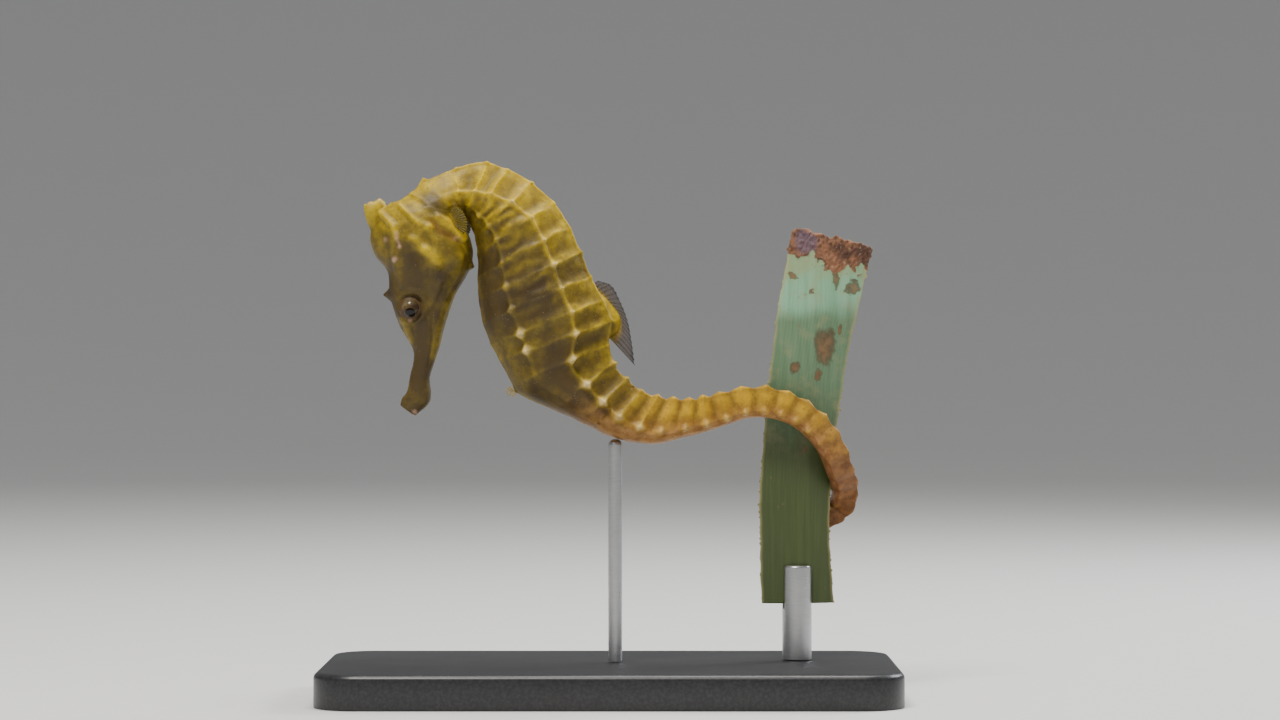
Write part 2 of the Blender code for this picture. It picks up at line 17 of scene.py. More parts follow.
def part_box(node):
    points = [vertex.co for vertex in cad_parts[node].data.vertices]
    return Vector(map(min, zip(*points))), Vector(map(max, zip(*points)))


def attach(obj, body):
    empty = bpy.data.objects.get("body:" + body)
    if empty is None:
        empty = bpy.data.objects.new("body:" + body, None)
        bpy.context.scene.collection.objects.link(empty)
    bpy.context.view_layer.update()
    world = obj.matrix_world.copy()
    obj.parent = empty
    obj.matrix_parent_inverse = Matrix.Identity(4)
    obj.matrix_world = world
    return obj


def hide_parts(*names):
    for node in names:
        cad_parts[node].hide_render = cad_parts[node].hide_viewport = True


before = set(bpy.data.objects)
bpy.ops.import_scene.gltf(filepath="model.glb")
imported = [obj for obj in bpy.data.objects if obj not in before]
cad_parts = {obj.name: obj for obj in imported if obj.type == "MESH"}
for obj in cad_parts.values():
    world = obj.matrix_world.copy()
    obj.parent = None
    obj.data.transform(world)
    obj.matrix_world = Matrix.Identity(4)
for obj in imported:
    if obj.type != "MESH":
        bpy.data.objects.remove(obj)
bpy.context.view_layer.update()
MM = 0.001
print("solids", len(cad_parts))

# %% [markdown]
# ## The body's line
# The body is one run of cross-sections numbered by bony ring, as in the solids: 0 at the nape, 1 to 11
# along the trunk, 12 to 43 along the tail, and negative numbers down the head to the mouth.
# Each row gives the back edge and the belly edge in x and z and the half width, in millimetres.

# %% Stations of the body
HEAD = (
    (-10.0, (-24.1, 33.7), (-22.3, 32.4), 0.75),
    (-9.4, (-23.9, 34.4), (-20.8, 33.8), 1.15),
    (-8.9, (-23.4, 35.0), (-20.6, 34.9), 1.20),
    (-8.0, (-23.0, 36.8), (-20.7, 36.8), 1.05),
    (-7.0, (-22.6, 39.7), (-19.78, 39.6), 1.20),
    (-6.0, (-24.1, 42.5), (-19.0, 42.6), 1.85),
    (-5.0, (-25.3, 46.0), (-17.8, 46.2), 2.35),
    (-4.0, (-25.7, 49.2), (-16.1, 49.3), 3.40),
    (-3.5, (-26.9, 50.6), (-15.75, 50.9), 3.80),
    (-3.0, (-27.5, 52.3), (-16.0, 52.5), 4.00),
    (-2.0, (-26.9, 55.1), (-17.2, 54.6), 3.75),
    (-1.0, (-25.4, 56.7), (-17.5, 55.5), 3.35),
    (0.0, (-23.35, 57.65), (-17.4, 55.7), 2.95),
    (0.5, (-20.95, 59.45), (-17.3, 55.8), 2.60),
)
RINGS = (
    (1.0, (-17.7, 60.7), (-17.2, 55.8), 2.40),
    (3.0, (-11.8, 60.6), (-15.9, 53.8), 3.10),
    (5.0, (-6.4, 56.7), (-15.3, 50.7), 3.80),
    (7.0, (-3.3, 51.0), (-15.2, 45.5), 4.20),
    (8.0, (-2.2, 48.3), (-14.7, 42.9), 4.25),
    (9.0, (-0.8, 45.5), (-13.8, 40.5), 4.15),
    (10.0, (0.1, 43.1), (-12.8, 38.6), 3.95),
    (11.0, (-0.2, 40.6), (-11.3, 35.9), 3.65),
    (11.4, (0.0, 39.8), (-10.75, 34.9), 3.50),
    (12.0, (0.4, 38.3), (-6.6, 33.0), 3.15),
    (13.0, (1.9, 36.5), (-3.3, 31.5), 2.70),
    (14.0, (3.6, 35.2), (-0.7, 30.2), 2.40),
    (15.0, (5.5, 34.5), (2.3, 29.3), 2.20),
    (16.0, (7.3, 34.3), (5.3, 29.1), 2.10),
    (17.0, (9.1, 34.2), (8.4, 29.8), 2.00),
    (18.0, (10.9, 34.4), (11.0, 30.5), 1.90),
    (19.0, (12.7, 34.9), (13.3, 31.2), 1.80),
)
# The free tail is given by its middle, x and z, and by its half height.
TAIL_AXIS = (
    (16.0, (6.3, 31.7)),
    (17.0, (8.75, 32.0)),
    (18.0, (10.95, 32.45)),
    (19.0, (13.1, 33.05)),
    (20.0, (15.4, 33.7)),
    (21.0, (17.8, 33.8)),
    (23.0, (21.8, 32.5)),
    (25.0, (24.8, 29.6)),
    (27.0, (26.3, 26.3)),
    (29.0, (27.1, 23.75)),
    (30.0, (26.98, 22.3)),
    (31.0, (26.15, 21.25)),
)
TAIL_HEIGHTS = ((16.0, 2.6), (17.0, 2.21), (18.0, 2.02), (19.0, 1.87), (21.0, 1.76),
                (25.0, 1.62), (29.0, 1.50), (31.0, 1.48), (37.0, 1.00), (43.0, 0.45))
TAIL_WIDTH_SHARE = 0.92
TAIL_STEP_FROM, TAIL_STEP_TO = 17.0, 19.0

# Behind the leaf the tail winds in to its tip about one point of the leaf's plane.
WRAP_FROM, WRAP_TO = 25.4, 31.3
CURL_FROM, LAST_RING = 31.0, 43.0
CURL_MIDDLE = (23.2, 24.0)
CURL_TIP_RADIUS = 1.5
CURL_TURN = math.radians(-285.0)
TAIL_CLEAR_OF_LEAF = 0.3

LEAF_MIDDLE_X, LEAF_Y = 21.35, 2.95
LEAF_WIDTH, LEAF_SPREAD = 8.15, 1.75
LEAF_THICK, LEAF_HOLLOW = 0.9, 0.4
LEAF_LEAN, LEAF_YAW = 4.3, 0.147
LEAF_WAIST, LEAF_BEND_OVER = 22.0, 30.0

EYE_PLACE = (-22.8, 44.7)
EYE_SIDE = 1.72
EYE_RADIUS = 1.28


def ramp(pairs, at):
    """Straight lines between the given pairs of ring and value."""
    return np.interp(at, [p[0] for p in pairs], [p[1] for p in pairs])


def ease(low, high, x):
    """Smooth step from 0 at low to 1 at high."""
    t = np.clip((x - low) / (high - low), 0.0, 1.0)
    return t * t * (3 - 2 * t)


def bell(distance, width):
    """Rounded peak of height 1."""
    return np.exp(-(distance / width) ** 2)


def curve_through(rows, column, at):
    """Smooth curve through one column of a table whose first column is the parameter."""
    at = np.atleast_1d(np.asarray(at, float))
    knots = np.array([row[0] for row in rows], float)
    values = np.array([row[column] for row in rows], float)
    values = values.reshape(len(knots), -1)
    slopes = np.gradient(values, knots, axis=0)
    i = np.clip(np.searchsorted(knots, at, side="right") - 1, 0, len(knots) - 2)
    span = (knots[i + 1] - knots[i])[:, None]
    t = ((at - knots[i]) / span[:, 0])[:, None]
    return ((2 * t**3 - 3 * t**2 + 1) * values[i] + (t**3 - 2 * t**2 + t) * span * slopes[i]
            + (3 * t**2 - 2 * t**3) * values[i + 1] + (t**3 - t**2) * span * slopes[i + 1])


def leaf_middle(z):
    """The leaf's middle in x and its width at a height: it leans over and widens upwards."""
    risen = (z - LEAF_WAIST) / LEAF_BEND_OVER
    lean = 0.35 * np.maximum(risen, 0.0) + 0.65 * risen * risen
    return LEAF_MIDDLE_X + LEAF_LEAN * lean, LEAF_WIDTH + LEAF_SPREAD * lean


def leaf_depth(offset, share):
    """The leaf's middle in y: it is turned a little and hollow across its width."""
    return LEAF_Y + LEAF_YAW * offset + LEAF_HOLLOW * share * share


def tail_middle(ring):
    """Middle of the free tail, in front of the leaf, round its edge and curled behind it."""
    ring = np.atleast_1d(np.asarray(ring, float))
    along = curve_through(TAIL_AXIS, 1, np.minimum(ring, CURL_FROM))
    start = np.array(TAIL_AXIS[-1][1]) - np.array(CURL_MIDDLE)
    turned = np.clip((ring - CURL_FROM) / (LAST_RING - CURL_FROM), 0, 1)
    eased = turned * (1.3 - 0.3 * turned)  # rings lie closer together towards the tip
    radius = np.hypot(*start) * (1 - eased) + CURL_TIP_RADIUS * eased
    angle = math.atan2(start[1], start[0]) + CURL_TURN * eased
    curled = np.stack([CURL_MIDDLE[0] + radius * np.cos(angle),
                       CURL_MIDDLE[1] + radius * np.sin(angle)], axis=1)
    flat = np.where((ring <= CURL_FROM)[:, None], along, curled)
    offset = np.minimum(flat[:, 0] - LEAF_MIDDLE_X, LEAF_WIDTH / 2)
    leaf_back = leaf_depth(offset, 2 * offset / LEAF_WIDTH) + LEAF_THICK / 2
    behind = leaf_back + TAIL_CLEAR_OF_LEAF + TAIL_WIDTH_SHARE * ramp(TAIL_HEIGHTS, ring)
    depth = behind * ease(WRAP_FROM, WRAP_TO, ring)
    return np.stack([flat[:, 0], depth, flat[:, 1]], axis=1)


def stations(ring):
    """Middles, back directions, side directions, half depths and half widths for many rings."""
    ring = np.atleast_1d(np.asarray(ring, float))
    table = HEAD + RINGS
    held = np.minimum(ring, TAIL_STEP_TO)
    back, belly = (curve_through(table, column, held) for column in (1, 2))
    wide = curve_through(table, 3, held)[:, 0]
    gap = back - belly
    deep = np.hypot(gap[:, 0], gap[:, 1]) / 2
    zero = np.zeros(len(ring))
    middle = (back + belly) / 2
    near = (np.stack([middle[:, 0], zero, middle[:, 1]], 1),
            np.stack([gap[:, 0] / deep / 2, zero, gap[:, 1] / deep / 2], 1),
            np.tile((0.0, 1.0, 0.0), (len(ring), 1)), deep, wide)
    step = 0.2  # rings to each side, for the tail's direction
    along = tail_middle(np.minimum(ring + step, LAST_RING)) - tail_middle(ring - step)
    along /= np.linalg.norm(along, axis=1)[:, None]
    up = np.cross(along, (0.0, 1.0, 0.0))
    up /= np.linalg.norm(up, axis=1)[:, None]
    high = ramp(TAIL_HEIGHTS, ring)
    far = (tail_middle(ring), up, np.cross(up, along), high, high * TAIL_WIDTH_SHARE)
    share = ease(TAIL_STEP_FROM, TAIL_STEP_TO, ring)
    mixed = []
    for trunk_value, tail_value in zip(near, far):
        part = share[:, None] if trunk_value.ndim == 2 else share
        mixed.append(trunk_value * (1 - part) + tail_value * part)
    for k in (1, 2):
        mixed[k] /= np.linalg.norm(mixed[k], axis=1)[:, None]
    return mixed


tail_steps = np.diff(tail_middle(np.linspace(TAIL_STEP_TO, LAST_RING, 300)), axis=0)
print("tail length in mm", round(float(np.linalg.norm(tail_steps, axis=1).sum()), 1))

# %% [markdown]
# ## Winding the sections
# A flat grid is added and each of its rows becomes one section: across the grid runs the way round
# the body, along it the way from mouth to tail tip. Lines lie closer where ridges and rings stand.
# The tail is thinner, so it has half as many lines round it and is bridged to the trunk's edge.

# %% Section shapes
# A place counts from 0 at the back to 12 at the belly. The three ridges of each side have fixed ones.
UPPER, SIDE, LOWER = 2, 5, 8
RIDGES = (UPPER, SIDE, LOWER)
PLACES = 12
SIDE_RIDGE_DOWN = (
    (-1, 0.60), (1, 0.60), (2, 0.55), (3, 0.44), (4, 0.35), (5, 0.29), (7, 0.26), (9, 0.27), (10.5, 0.33),
    (12, 0.44), (13, 0.52), (14, 0.60), (15, 0.67), (16, 0.72), (18, 0.76), (25, 0.78), (33, 0.66))
UPPER_RIDGE_WIDTH = ((0, 0.50), (4, 0.34), (8, 0.30), (11, 0.40), (14, 0.66), (18, 0.80))
LOWER_RIDGE_WIDTH = ((0, 0.86), (5, 0.88), (10, 0.86), (12, 0.93), (15, 0.88), (18, 0.55))
HEAD_FULLNESS = 2.3
CHEEK_RING, CHEEK_WEDGE = -3.2, 0.18


def past_trunk(ring):
    """0 on the trunk and 1 on the tail."""
    return ease(11.5, 13.5, ring)


def on_belly(place):
    """0 above the lower ridges and 1 between them."""
    return ease(8.3, 10.3, place)


def between_rings(ring):
    """0 on a ring and 1 halfway to the next."""
    return 0.5 - 0.5 * np.cos(2 * math.pi * ring)


def plate_sections(ring, place):
    """Ridged half sections of trunk and tail: nearly straight plates between the ridges, bowed a little."""
    ridge = 1 - 2 * ramp(SIDE_RIDGE_DOWN, ring)
    upper, lower = ramp(UPPER_RIDGE_WIDTH, ring), ramp(LOWER_RIDGE_WIDTH, ring)
    tail = ease(13, 18, ring)
    side = 1.0 - 0.12 * tail
    keel = -1.0 + 0.05 * ease(17, 19, ring)
    none = np.zeros_like(ring)
    corner_u = np.stack([0.965 - 0.05 * tail, none + 1, ridge, ridge + (-1 - ridge) * 0.62, keel], 1)
    corner_w = np.stack([none, upper, side, lower, none], 1)
    knots = np.array([0, *RIDGES, PLACES], float)
    i = np.clip(np.searchsorted(knots, place, side="right") - 1, 0, 3)
    t = (place - knots[i]) / (knots[i + 1] - knots[i])
    u = corner_u[:, i] * (1 - t) + corner_u[:, i + 1] * t
    w = corner_w[:, i] * (1 - t) + corner_w[:, i + 1] * t
    swell = 0.10 * (1 - 0.7 * tail)[:, None] * np.where(place < SIDE, 0.55, 1.0)
    bow = np.sin(np.pi * t) * (place > UPPER)
    w = w + swell * bow * np.where(place > LOWER, 0.5, 1.0)
    u = u - swell * bow * np.where(place > LOWER, 0.6, 0.0)
    return u, w


def head_sections(ring, place):
    """Oval half sections of the head, wider below where the cheeks are."""
    angle = place * math.pi / PLACES
    power = 2 / HEAD_FULLNESS
    wedge = (CHEEK_WEDGE * bell(ring - CHEEK_RING, 1.6))[:, None]
    u = np.tile(np.sign(np.cos(angle)) * np.abs(np.cos(angle)) ** power, (len(ring), 1))
    return u, np.abs(np.sin(angle)) ** power * (1 - wedge * np.cos(angle))


def profiles(ring, place):
    """Half sections as shares of depth (u) and of width (w), for every ring and place."""
    blend = ease(-1.0, 1.5, ring)[:, None]
    return [head * (1 - blend) + plates * blend
            for head, plates in zip(head_sections(ring, place), plate_sections(ring, place))]


def soften(values, times):
    """Average each closed section with its neighbours."""
    for _ in range(times):
        values = 0.5 * values + 0.25 * (np.roll(values, 1, axis=1) + np.roll(values, -1, axis=1))
    return values


# %% Lines of the grids
def places_round(half_count):
    """Places from back (0) to belly (12) and up the other side, closer together at the ridges."""
    fine = np.linspace(0, PLACES, 2401)
    density = 1 + 0.6 * bell(fine, 0.6) + 1.5 * sum(bell(fine - ridge, 0.5) for ridge in RIDGES)
    grown = np.concatenate([[0], np.cumsum((density[1:] + density[:-1]) / 2)])
    half = np.interp(np.linspace(0, grown[-1], half_count + 1), grown, fine)
    place = np.concatenate([half, half[-2:0:-1]])
    turned = np.concatenate([half, 2 * PLACES - half[-2:0:-1]])
    sign = np.concatenate([-np.ones(half_count + 1), np.ones(half_count - 1)])
    return place, turned, sign


def rings_along(first, last, rows_per_ring):
    """Ring numbers of the rows, closer together where a ring stands up."""
    even = np.linspace(first, last, round((last - first) * rows_per_ring) + 1)
    return even - 0.5 * np.sin(2 * math.pi * even) / (2 * math.pi)


HALF_COUNT = 84
JOINT_RING = 13.5
head_rows = np.linspace(-10, 0, 185, endpoint=False)
FRONT_RINGS = np.concatenate([head_rows, rings_along(0, JOINT_RING, 16)])
REAR_RINGS = rings_along(JOINT_RING, LAST_RING, 11)
print("rows", len(FRONT_RINGS), "and", len(REAR_RINGS), "points round", 2 * HALF_COUNT, "and", HALF_COUNT)

# %% [markdown]
# ## Rings, ridges and tubercles
# A seahorse has no scales: bony plates meet under thin skin, so each ring shows as a raised line,
# and a blunt tubercle stands where a ring crosses one of the ridges that run along the body.
# All of that is worked out as one height over the plain form, from the ring number and the place.

# %% Tables of tubercles and of the head's features
# Ridge, first and last ring, height on the trunk and on the tail, and the ones that stand out.
ROWS_OF_TUBERCLES = (
    (UPPER, 1, 42, 0.07, 0.15, {1: 0.10, 4: 0.13, 7: 0.13, 12: 0.26, 13: 0.22, 15: 0.22, 18: 0.22, 21: 0.28,
                                24: 0.22}),
    (SIDE, 1, 42, 0.18, 0.14, {4: 0.22, 7: 0.24, 10: 0.30, 11: 0.40, 12: 0.48, 13: 0.50, 14: 0.46, 15: 0.40,
                               16: 0.34, 17: 0.30, 18: 0.30, 19: 0.28, 20: 0.28, 21: 0.26, 22: 0.24, 23: 0.22,
                               24: 0.20}),
    (LOWER, 3, 10, 0.14, 0.14, {7: 0.20, 8: 0.26, 9: 0.42, 10: 0.42}),
)
# Sizes of the relief in millimetres: heights and depths first, then widths.
RING_LINE, UPPER_RING_LINE, RING_DIP, UPPER_RING_DIP = 0.07, 0.06, 0.03, 0.05
BEAD, RIDGE, FOLD, CREASE, POUCH_RIM = 0.24, 0.12, 0.075, 0.022, 0.05
NECK_NODE, EYE_SOCKET, GILL_RAY, BROAD_ROUGHNESS, FINE_ROUGHNESS = 0.15, 0.24, 0.018, 0.05, 0.03
RING_LINE_WIDTH, RIDGE_WIDTH, ARM_WIDTH, ARM_LENGTH = 0.21, 0.22, 0.17, 0.8
KNOB_RADIUS, KNOB_GROWTH = 0.36, 0.95
EYE_SOCKET_RADIUS, EYE_SOCKET_WIDTH = 1.5, 0.45

# Ridge, how clear it is, and the rings between which it runs.
RIDGE_LINES = ((UPPER, 0.8, 0.4, 44), (SIDE, 1.0, 0.6, 44), (LOWER, 0.7, 2.0, 11.4))

# A feature of the head is its height in millimetres over the skin, or below it, and one or more rows of
# strength, half width and points in x and z, the same on both sides. A single point is a round spot,
# and more points are a bar along them.
HEAD_FORMS = {
    "crest": (0.48, (1.0, 0.58, (-26.9, 56.3), (-25.8, 55.2), (-24.6, 54.0), (-24.2, 52.6))),
    "temple": (0.36, (1.0, 0.48, (-23.9, 56.3), (-22.6, 55.1), (-21.6, 54.2)), (0.7, 0.8, (-20.7, 53.9))),
    "cheek": (0.44, (0.6, 0.85, (-22.5, 52.5), (-21.1, 51.4)),
              (1.0, 1.05, (-20.9, 51.2), (-20.1, 50.5), (-19.6, 49.9))),
    "lobe": (0.50, (1.0, 0.75, (-19.6, 55.0), (-18.3, 54.3), (-17.2, 53.6), (-16.8, 52.8))),
    "brow": (0.20, (1.0, 0.62, (-24.5, 53.8), (-24.8, 51.6), (-24.3, 49.2), (-23.6, 47.2))),
    "under_eye": (0.16, (1.0, 0.60, (-21.5, 43.6), (-20.4, 45.4), (-19.4, 47.6))),
    "back_of_eye": (0.14, (1.0, 0.50, (-21.3, 45.6), (-21.6, 47.6), (-22.0, 49.8))),
    "snout_root": (0.14, (1.0, 0.55, (-24.1, 44.6), (-23.3, 42.6), (-22.7, 41.2))),
    "gill_cover": (0.34, (1.0, 3.0, (-18.6, 50.2))),
    "spots": (0.16, (1.0, 0.46, (-24.5, 50.3)), (0.8, 0.34, (-23.95, 51.7)), (0.45, 0.44, (-25.6, 52.5)),
              (0.6, 0.26, (-24.15, 53.3), (-24.0, 51.9)), (0.6, 0.42, (-17.7, 56.5)),
              (0.5, 0.4, (-17.6, 52.6)), (0.8, 0.36, (-22.8, 43.35))),
    "slit": (-0.20, (1.0, 0.50, (-20.3, 54.6), (-19.3, 53.5), (-17.6, 52.5))),
    "gill_edge": (-0.12, (1.0, 0.36, (-17.2, 52.4), (-16.4, 50.6), (-17.2, 48.2), (-18.6, 45.6))),
    "hollow_cheek": (-0.22, (1.0, 1.2, (-21.9, 50.2))),
    "brow_fold": (0.12, (1.0, 0.42, (-24.2, 45.9), (-23.3, 46.75), (-22.1, 46.65), (-21.3, 45.8))),
    "lid_crease": (-0.07, (1.0, 0.26, (-23.9, 46.7), (-22.9, 47.3), (-21.7, 47.0))),
    "snout_grooves": (-0.09, (1.0, 0.32, (-20.4, 43.6), (-20.35, 41.0), (-20.8, 38.0)),
                      (0.6, 0.28, (-22.6, 42.6), (-22.4, 40.6))),
}
# Rows that are only painted: dark marks, with painted shade under the eye, in the crease over it and down the
# snout; painted light on the lit areas; and a pale spot at the mouth.
HEAD_PAINT = {
    "dusky": ((1.0, 1.65, (-20.5, 57.1), (-19.5, 55.6)), (0.7, 0.75, (-25.6, 52.9), (-25.2, 51.7)),
              (0.75, 1.5, (-23.1, 51.4), (-22.6, 49.8), (-22.5, 48.0)),
              (0.7, 0.42, (-23.4, 46.95), (-22.2, 46.85)),
              (1.0, 1.0, (-21.5, 43.0), (-21.65, 40.0), (-22.0, 35.6)),
              (0.9, 0.40, (-24.0, 44.2), (-22.8, 43.75), (-21.3, 43.9))),
    "lit": ((1.0, 0.75, (-18.2, 46.4), (-19.3, 42.9), (-20.2, 39.2)),
            (0.6, 1.1, (-16.9, 51.6), (-17.2, 49.4), (-18.2, 47.0)),
            (1.0, 0.75, (-23.7, 43.2), (-23.0, 41.0)), (0.5, 0.6, (-20.15, 54.1))),
    "mouth_spot": ((0.7, 0.42, (-22.4, 32.8)),),
}
NECK_NODES = ((1.0, 0.42, (-21.2, 59.2), (-19.6, 57.9), (-18.4, 56.4)),
              (1.0, 0.45, (-22.9, 57.9), (-21.2, 56.9), (-19.9, 55.6)))
GILL_RAYS, GILL_RAYS_FROM = 26, (-20.6, 52.6)


# %% Relief of the bony rings
class Relief:
    """Heights and masks over one wound grid."""

    def __init__(self, form, ring, place, turned):
        along = np.gradient(form, ring, axis=0)
        around = (np.roll(form, -1, axis=1) - np.roll(form, 1, axis=1)) / 2
        spacing = np.abs((np.roll(turned, -1) - np.roll(turned, 1) + PLACES) % (2 * PLACES) - PLACES) / 2
        self.normal = np.cross(around, along)
        self.normal /= np.maximum(np.linalg.norm(self.normal, axis=2), 1e-9)[..., None]
        self.sideways = np.abs(self.normal[..., 1])
        self.ring_mm = np.linalg.norm(along, axis=2)
        self.place_mm = np.linalg.norm(around, axis=2) / spacing[None]
        self.R = ring[:, None] * np.ones_like(place)[None]
        self.Q = place[None] * np.ones_like(ring)[:, None]
        self.X, self.Z = form[..., 0], form[..., 2]
        self.height = np.zeros_like(self.R)

    def regions(self, deep):
        """Where the trunk, the tail, the pouch and the plates of the flank are, each from 0 to 1."""
        R, Q = self.R, self.Q
        self.body = ease(0.3, 1.4, R)
        self.past_trunk = past_trunk(R)
        self.on_tail = ease(13.0, 16.5, R)
        self.small = (np.minimum(1.0, deep / 1.9)[:, None] * (1 - 0.40 * ease(23, 28, R))
                      * (1 - 0.4 * ease(34, 43, R)))
        self.room = ease(0.5, 1.5, self.ring_mm)
        self.pouch = ease(11.7, 12.6, R) * (1 - ease(17.0, 18.4, R)) * ease(5.3, 6.3, Q)
        self.upper = ease(1.4, 2.2, Q) * (1 - ease(4.9, 5.6, Q))
        self.under = ease(6.3, 8.2, Q) * self.on_tail
        self.middle = between_rings(R)
        self.nearest = np.round(R)
        wander = 0.05 * np.sin(Q * 1.9 + self.nearest * 2.3) * (1 - bell(Q - SIDE, 0.6))
        self.off_ring = (R - self.nearest + wander * (1 - self.past_trunk)) * self.ring_mm

    def ring_lines(self):
        """A fine raised line at each ring of the trunk, beads along the tail, and a dip between rings."""
        R, Q, on_tail = self.R, self.Q, self.on_tail
        belly = on_belly(Q) * (1 - self.past_trunk)
        soft = (1 - 0.94 * self.pouch) * (1 - 0.8 * belly) * (1 - 0.85 * self.under)
        back = 1 - 0.6 * (1 - ease(2.1, 3.2, Q)) * (1 - on_tail)
        shown = self.body * self.room * self.small * soft
        uneven = 0.75 + 0.25 * np.sin(Q * 3.1 + self.nearest * 1.7)
        self.ring_line = bell(self.off_ring, RING_LINE_WIDTH) * shown * uneven
        line_height = RING_LINE + UPPER_RING_LINE * self.upper
        self.height += line_height * self.ring_line * back * (1 - 0.75 * on_tail)
        round_tail = on_tail * (1 - self.under)
        self.bead = (1 - self.middle**3.2) * round_tail
        self.height += BEAD * (self.bead - 0.75 * round_tail) * self.small * (1 - 0.94 * self.pouch)
        between = (R - np.floor(R)) * 2 - 1
        dip = RING_DIP + UPPER_RING_DIP * self.upper
        self.height -= dip * (1 - between**2) * shown * back * (1 - on_tail)

    def ridge_lines(self):
        """The lines that run along the body, and the shaded strips beside them."""
        R, Q = self.R, self.Q
        self.ridge = np.zeros_like(R)
        for where, share, start, end in RIDGE_LINES:
            live = ease(start, start + 0.9, R) * (1 - ease(end - 0.8, end, R))
            fade = 1 - 0.75 * self.on_tail * (where == SIDE)
            self.ridge += bell((Q - where) * self.place_mm, RIDGE_WIDTH) * live * share * fade
        self.height += RIDGE * self.ridge * self.small
        below_side = bell((Q - SIDE) * self.place_mm - 0.62, 0.30)
        above_lower = 0.8 * bell((Q - LOWER) * self.place_mm + 0.60, 0.28) * (1 - ease(10, 11.4, R))
        self.beside = (below_side + above_lower) * ease(1.5, 3.0, R) * (1 - ease(16, 19, R))

    def tubercles(self):
        """A blunt knob with four short arms wherever a ring crosses a ridge."""
        self.star = np.zeros_like(self.R)
        for where, first, last, on_trunk, on_tail, tall in ROWS_OF_TUBERCLES:
            heights = {n: (on_tail if n > 11 else on_trunk) for n in range(first, last + 1)}
            heights.update(tall)
            rise = np.array([heights.get(int(n), 0.0) for n in self.nearest[:, 0]])[:, None]
            across = (self.Q - where) * self.place_mm
            away = np.hypot(self.off_ring, across) / (KNOB_RADIUS + KNOB_GROWTH * rise)
            knob = np.clip(1 - away**2, 0, None) ** 2
            across_arms = bell(self.off_ring, ARM_WIDTH) * bell(across, ARM_LENGTH)
            along_arms = bell(across, ARM_WIDTH) * bell(self.off_ring, ARM_LENGTH)
            arms = (across_arms + along_arms) * 0.38 * (1 - 0.8 * self.on_tail)
            stands = (knob + arms * np.minimum(1, rise / 0.4)) * rise * self.small
            self.height += stands * np.minimum(1, self.room + self.past_trunk)
            bright = np.minimum(1, rise / (0.8 if where == UPPER else 0.42))
            glow = np.clip(1 - (away / 1.25) ** 2, 0, None) ** 2
            self.star = np.maximum(self.star, np.clip(glow + 0.8 * arms, 0, 1) * bright)

    def folds(self):
        """Soft folds low on the flank, creases between the upper ridges and the pouch's upper rim."""
        R, Q = self.R, self.Q
        flank = ease(5.1, 5.7, Q) * (1 - ease(7.4, 8.6, Q)) * ease(1.9, 3.7, R) * (1 - ease(7.0, 9.5, R))
        phase = R * 1.75 + 0.12 * Q + 0.10 * np.sin(Q * 1.3 + R * 1.1) + 0.36 * self.broad
        patchy = ease(-0.28, 0.22, self.patches + 0.10 * np.sin(R * 3.1 + Q))
        self.fold = np.sin(2 * math.pi * phase) * flank * (0.35 + 0.65 * patchy)
        self.height += FOLD * self.fold * self.room
        creases = self.upper * np.sin(2 * math.pi * (R * 2 + 0.5) + 2 * self.broad)
        self.height += CREASE * creases * ease(1.5, 3, R) * (1 - ease(11, 14, R)) * self.room
        rim = bell(Q - 8.4 - 0.25 * (R - 12), 0.5) * ease(11.2, 12.2, R) * (1 - ease(15.5, 17, R))
        self.height += POUCH_RIM * rim

    def bony_rings(self, deep):
        """All that stands up on trunk and tail; deep is the half depth of each row."""
        self.regions(deep)
        self.ring_lines()
        self.ridge_lines()
        self.tubercles()
        self.folds()

    def spot(self, radius, x, z):
        """Rounded spot about a point in x and z."""
        return np.clip(1 - ((self.X - x) ** 2 + (self.Z - z) ** 2) / radius**2, 0, None) ** 2

    def bar(self, radius, points):
        """Rounded bar of the given half width along a line in x and z."""
        best = np.full_like(self.X, 1e9)
        for (ax, az), (bx, bz) in zip(points, points[1:]):
            length = (bx - ax) ** 2 + (bz - az) ** 2
            t = np.clip(((self.X - ax) * (bx - ax) + (self.Z - az) * (bz - az)) / length, 0, 1)
            best = np.minimum(best, np.hypot(self.X - ax - t * (bx - ax), self.Z - az - t * (bz - az)))
        return np.clip(1 - (best / radius) ** 2, 0, None) ** 2

    def drawn(self, rows):
        """Sum of the spots and bars of one feature."""
        return sum(strength * (self.bar(radius, points) if len(points) > 1 else self.spot(radius, *points[0]))
                   for strength, radius, *points in rows)

    def head(self):
        """The head's features, kept as masks for the paint, and the nodes of the neck."""
        self.on_head = 1 - ease(0.0, 1.4, self.R)
        facing = ease(0.12, 0.55, self.sideways) * self.on_head
        for name, (stands_out, *rows) in HEAD_FORMS.items():
            setattr(self, name, self.drawn(rows) * facing)
            self.height += stands_out * getattr(self, name)
        for name, rows in HEAD_PAINT.items():
            setattr(self, name, self.drawn(rows))
        self.spots += self.mouth_spot
        self.height += HEAD_FORMS["spots"][0] * self.mouth_spot
        turn = np.arctan2(self.Z - GILL_RAYS_FROM[1], self.X - GILL_RAYS_FROM[0])
        self.height += GILL_RAY * np.sin(turn * GILL_RAYS) * self.gill_cover
        self.neck = self.drawn(NECK_NODES) * ease(0.1, 0.5, self.sideways) * (1 - ease(1.5, 2.5, self.R))
        self.height += NECK_NODE * self.neck
        from_eye = np.hypot(self.X - EYE_PLACE[0], self.Z - EYE_PLACE[1])
        self.height += EYE_SOCKET * bell(from_eye - EYE_SOCKET_RADIUS, EYE_SOCKET_WIDTH) * facing


# %% [markdown]
# ## Spines, coronet and eye openings
# The coronet is the low crown on a seahorse's head. It is drawn up out of the skin of the crown, with
# five blunt points round a shallow cup, and so are the spines at the nape, the nose and the throat.
# Round each eye the skin meets the ball in a rounded lid and runs on under it, so no hole is needed.

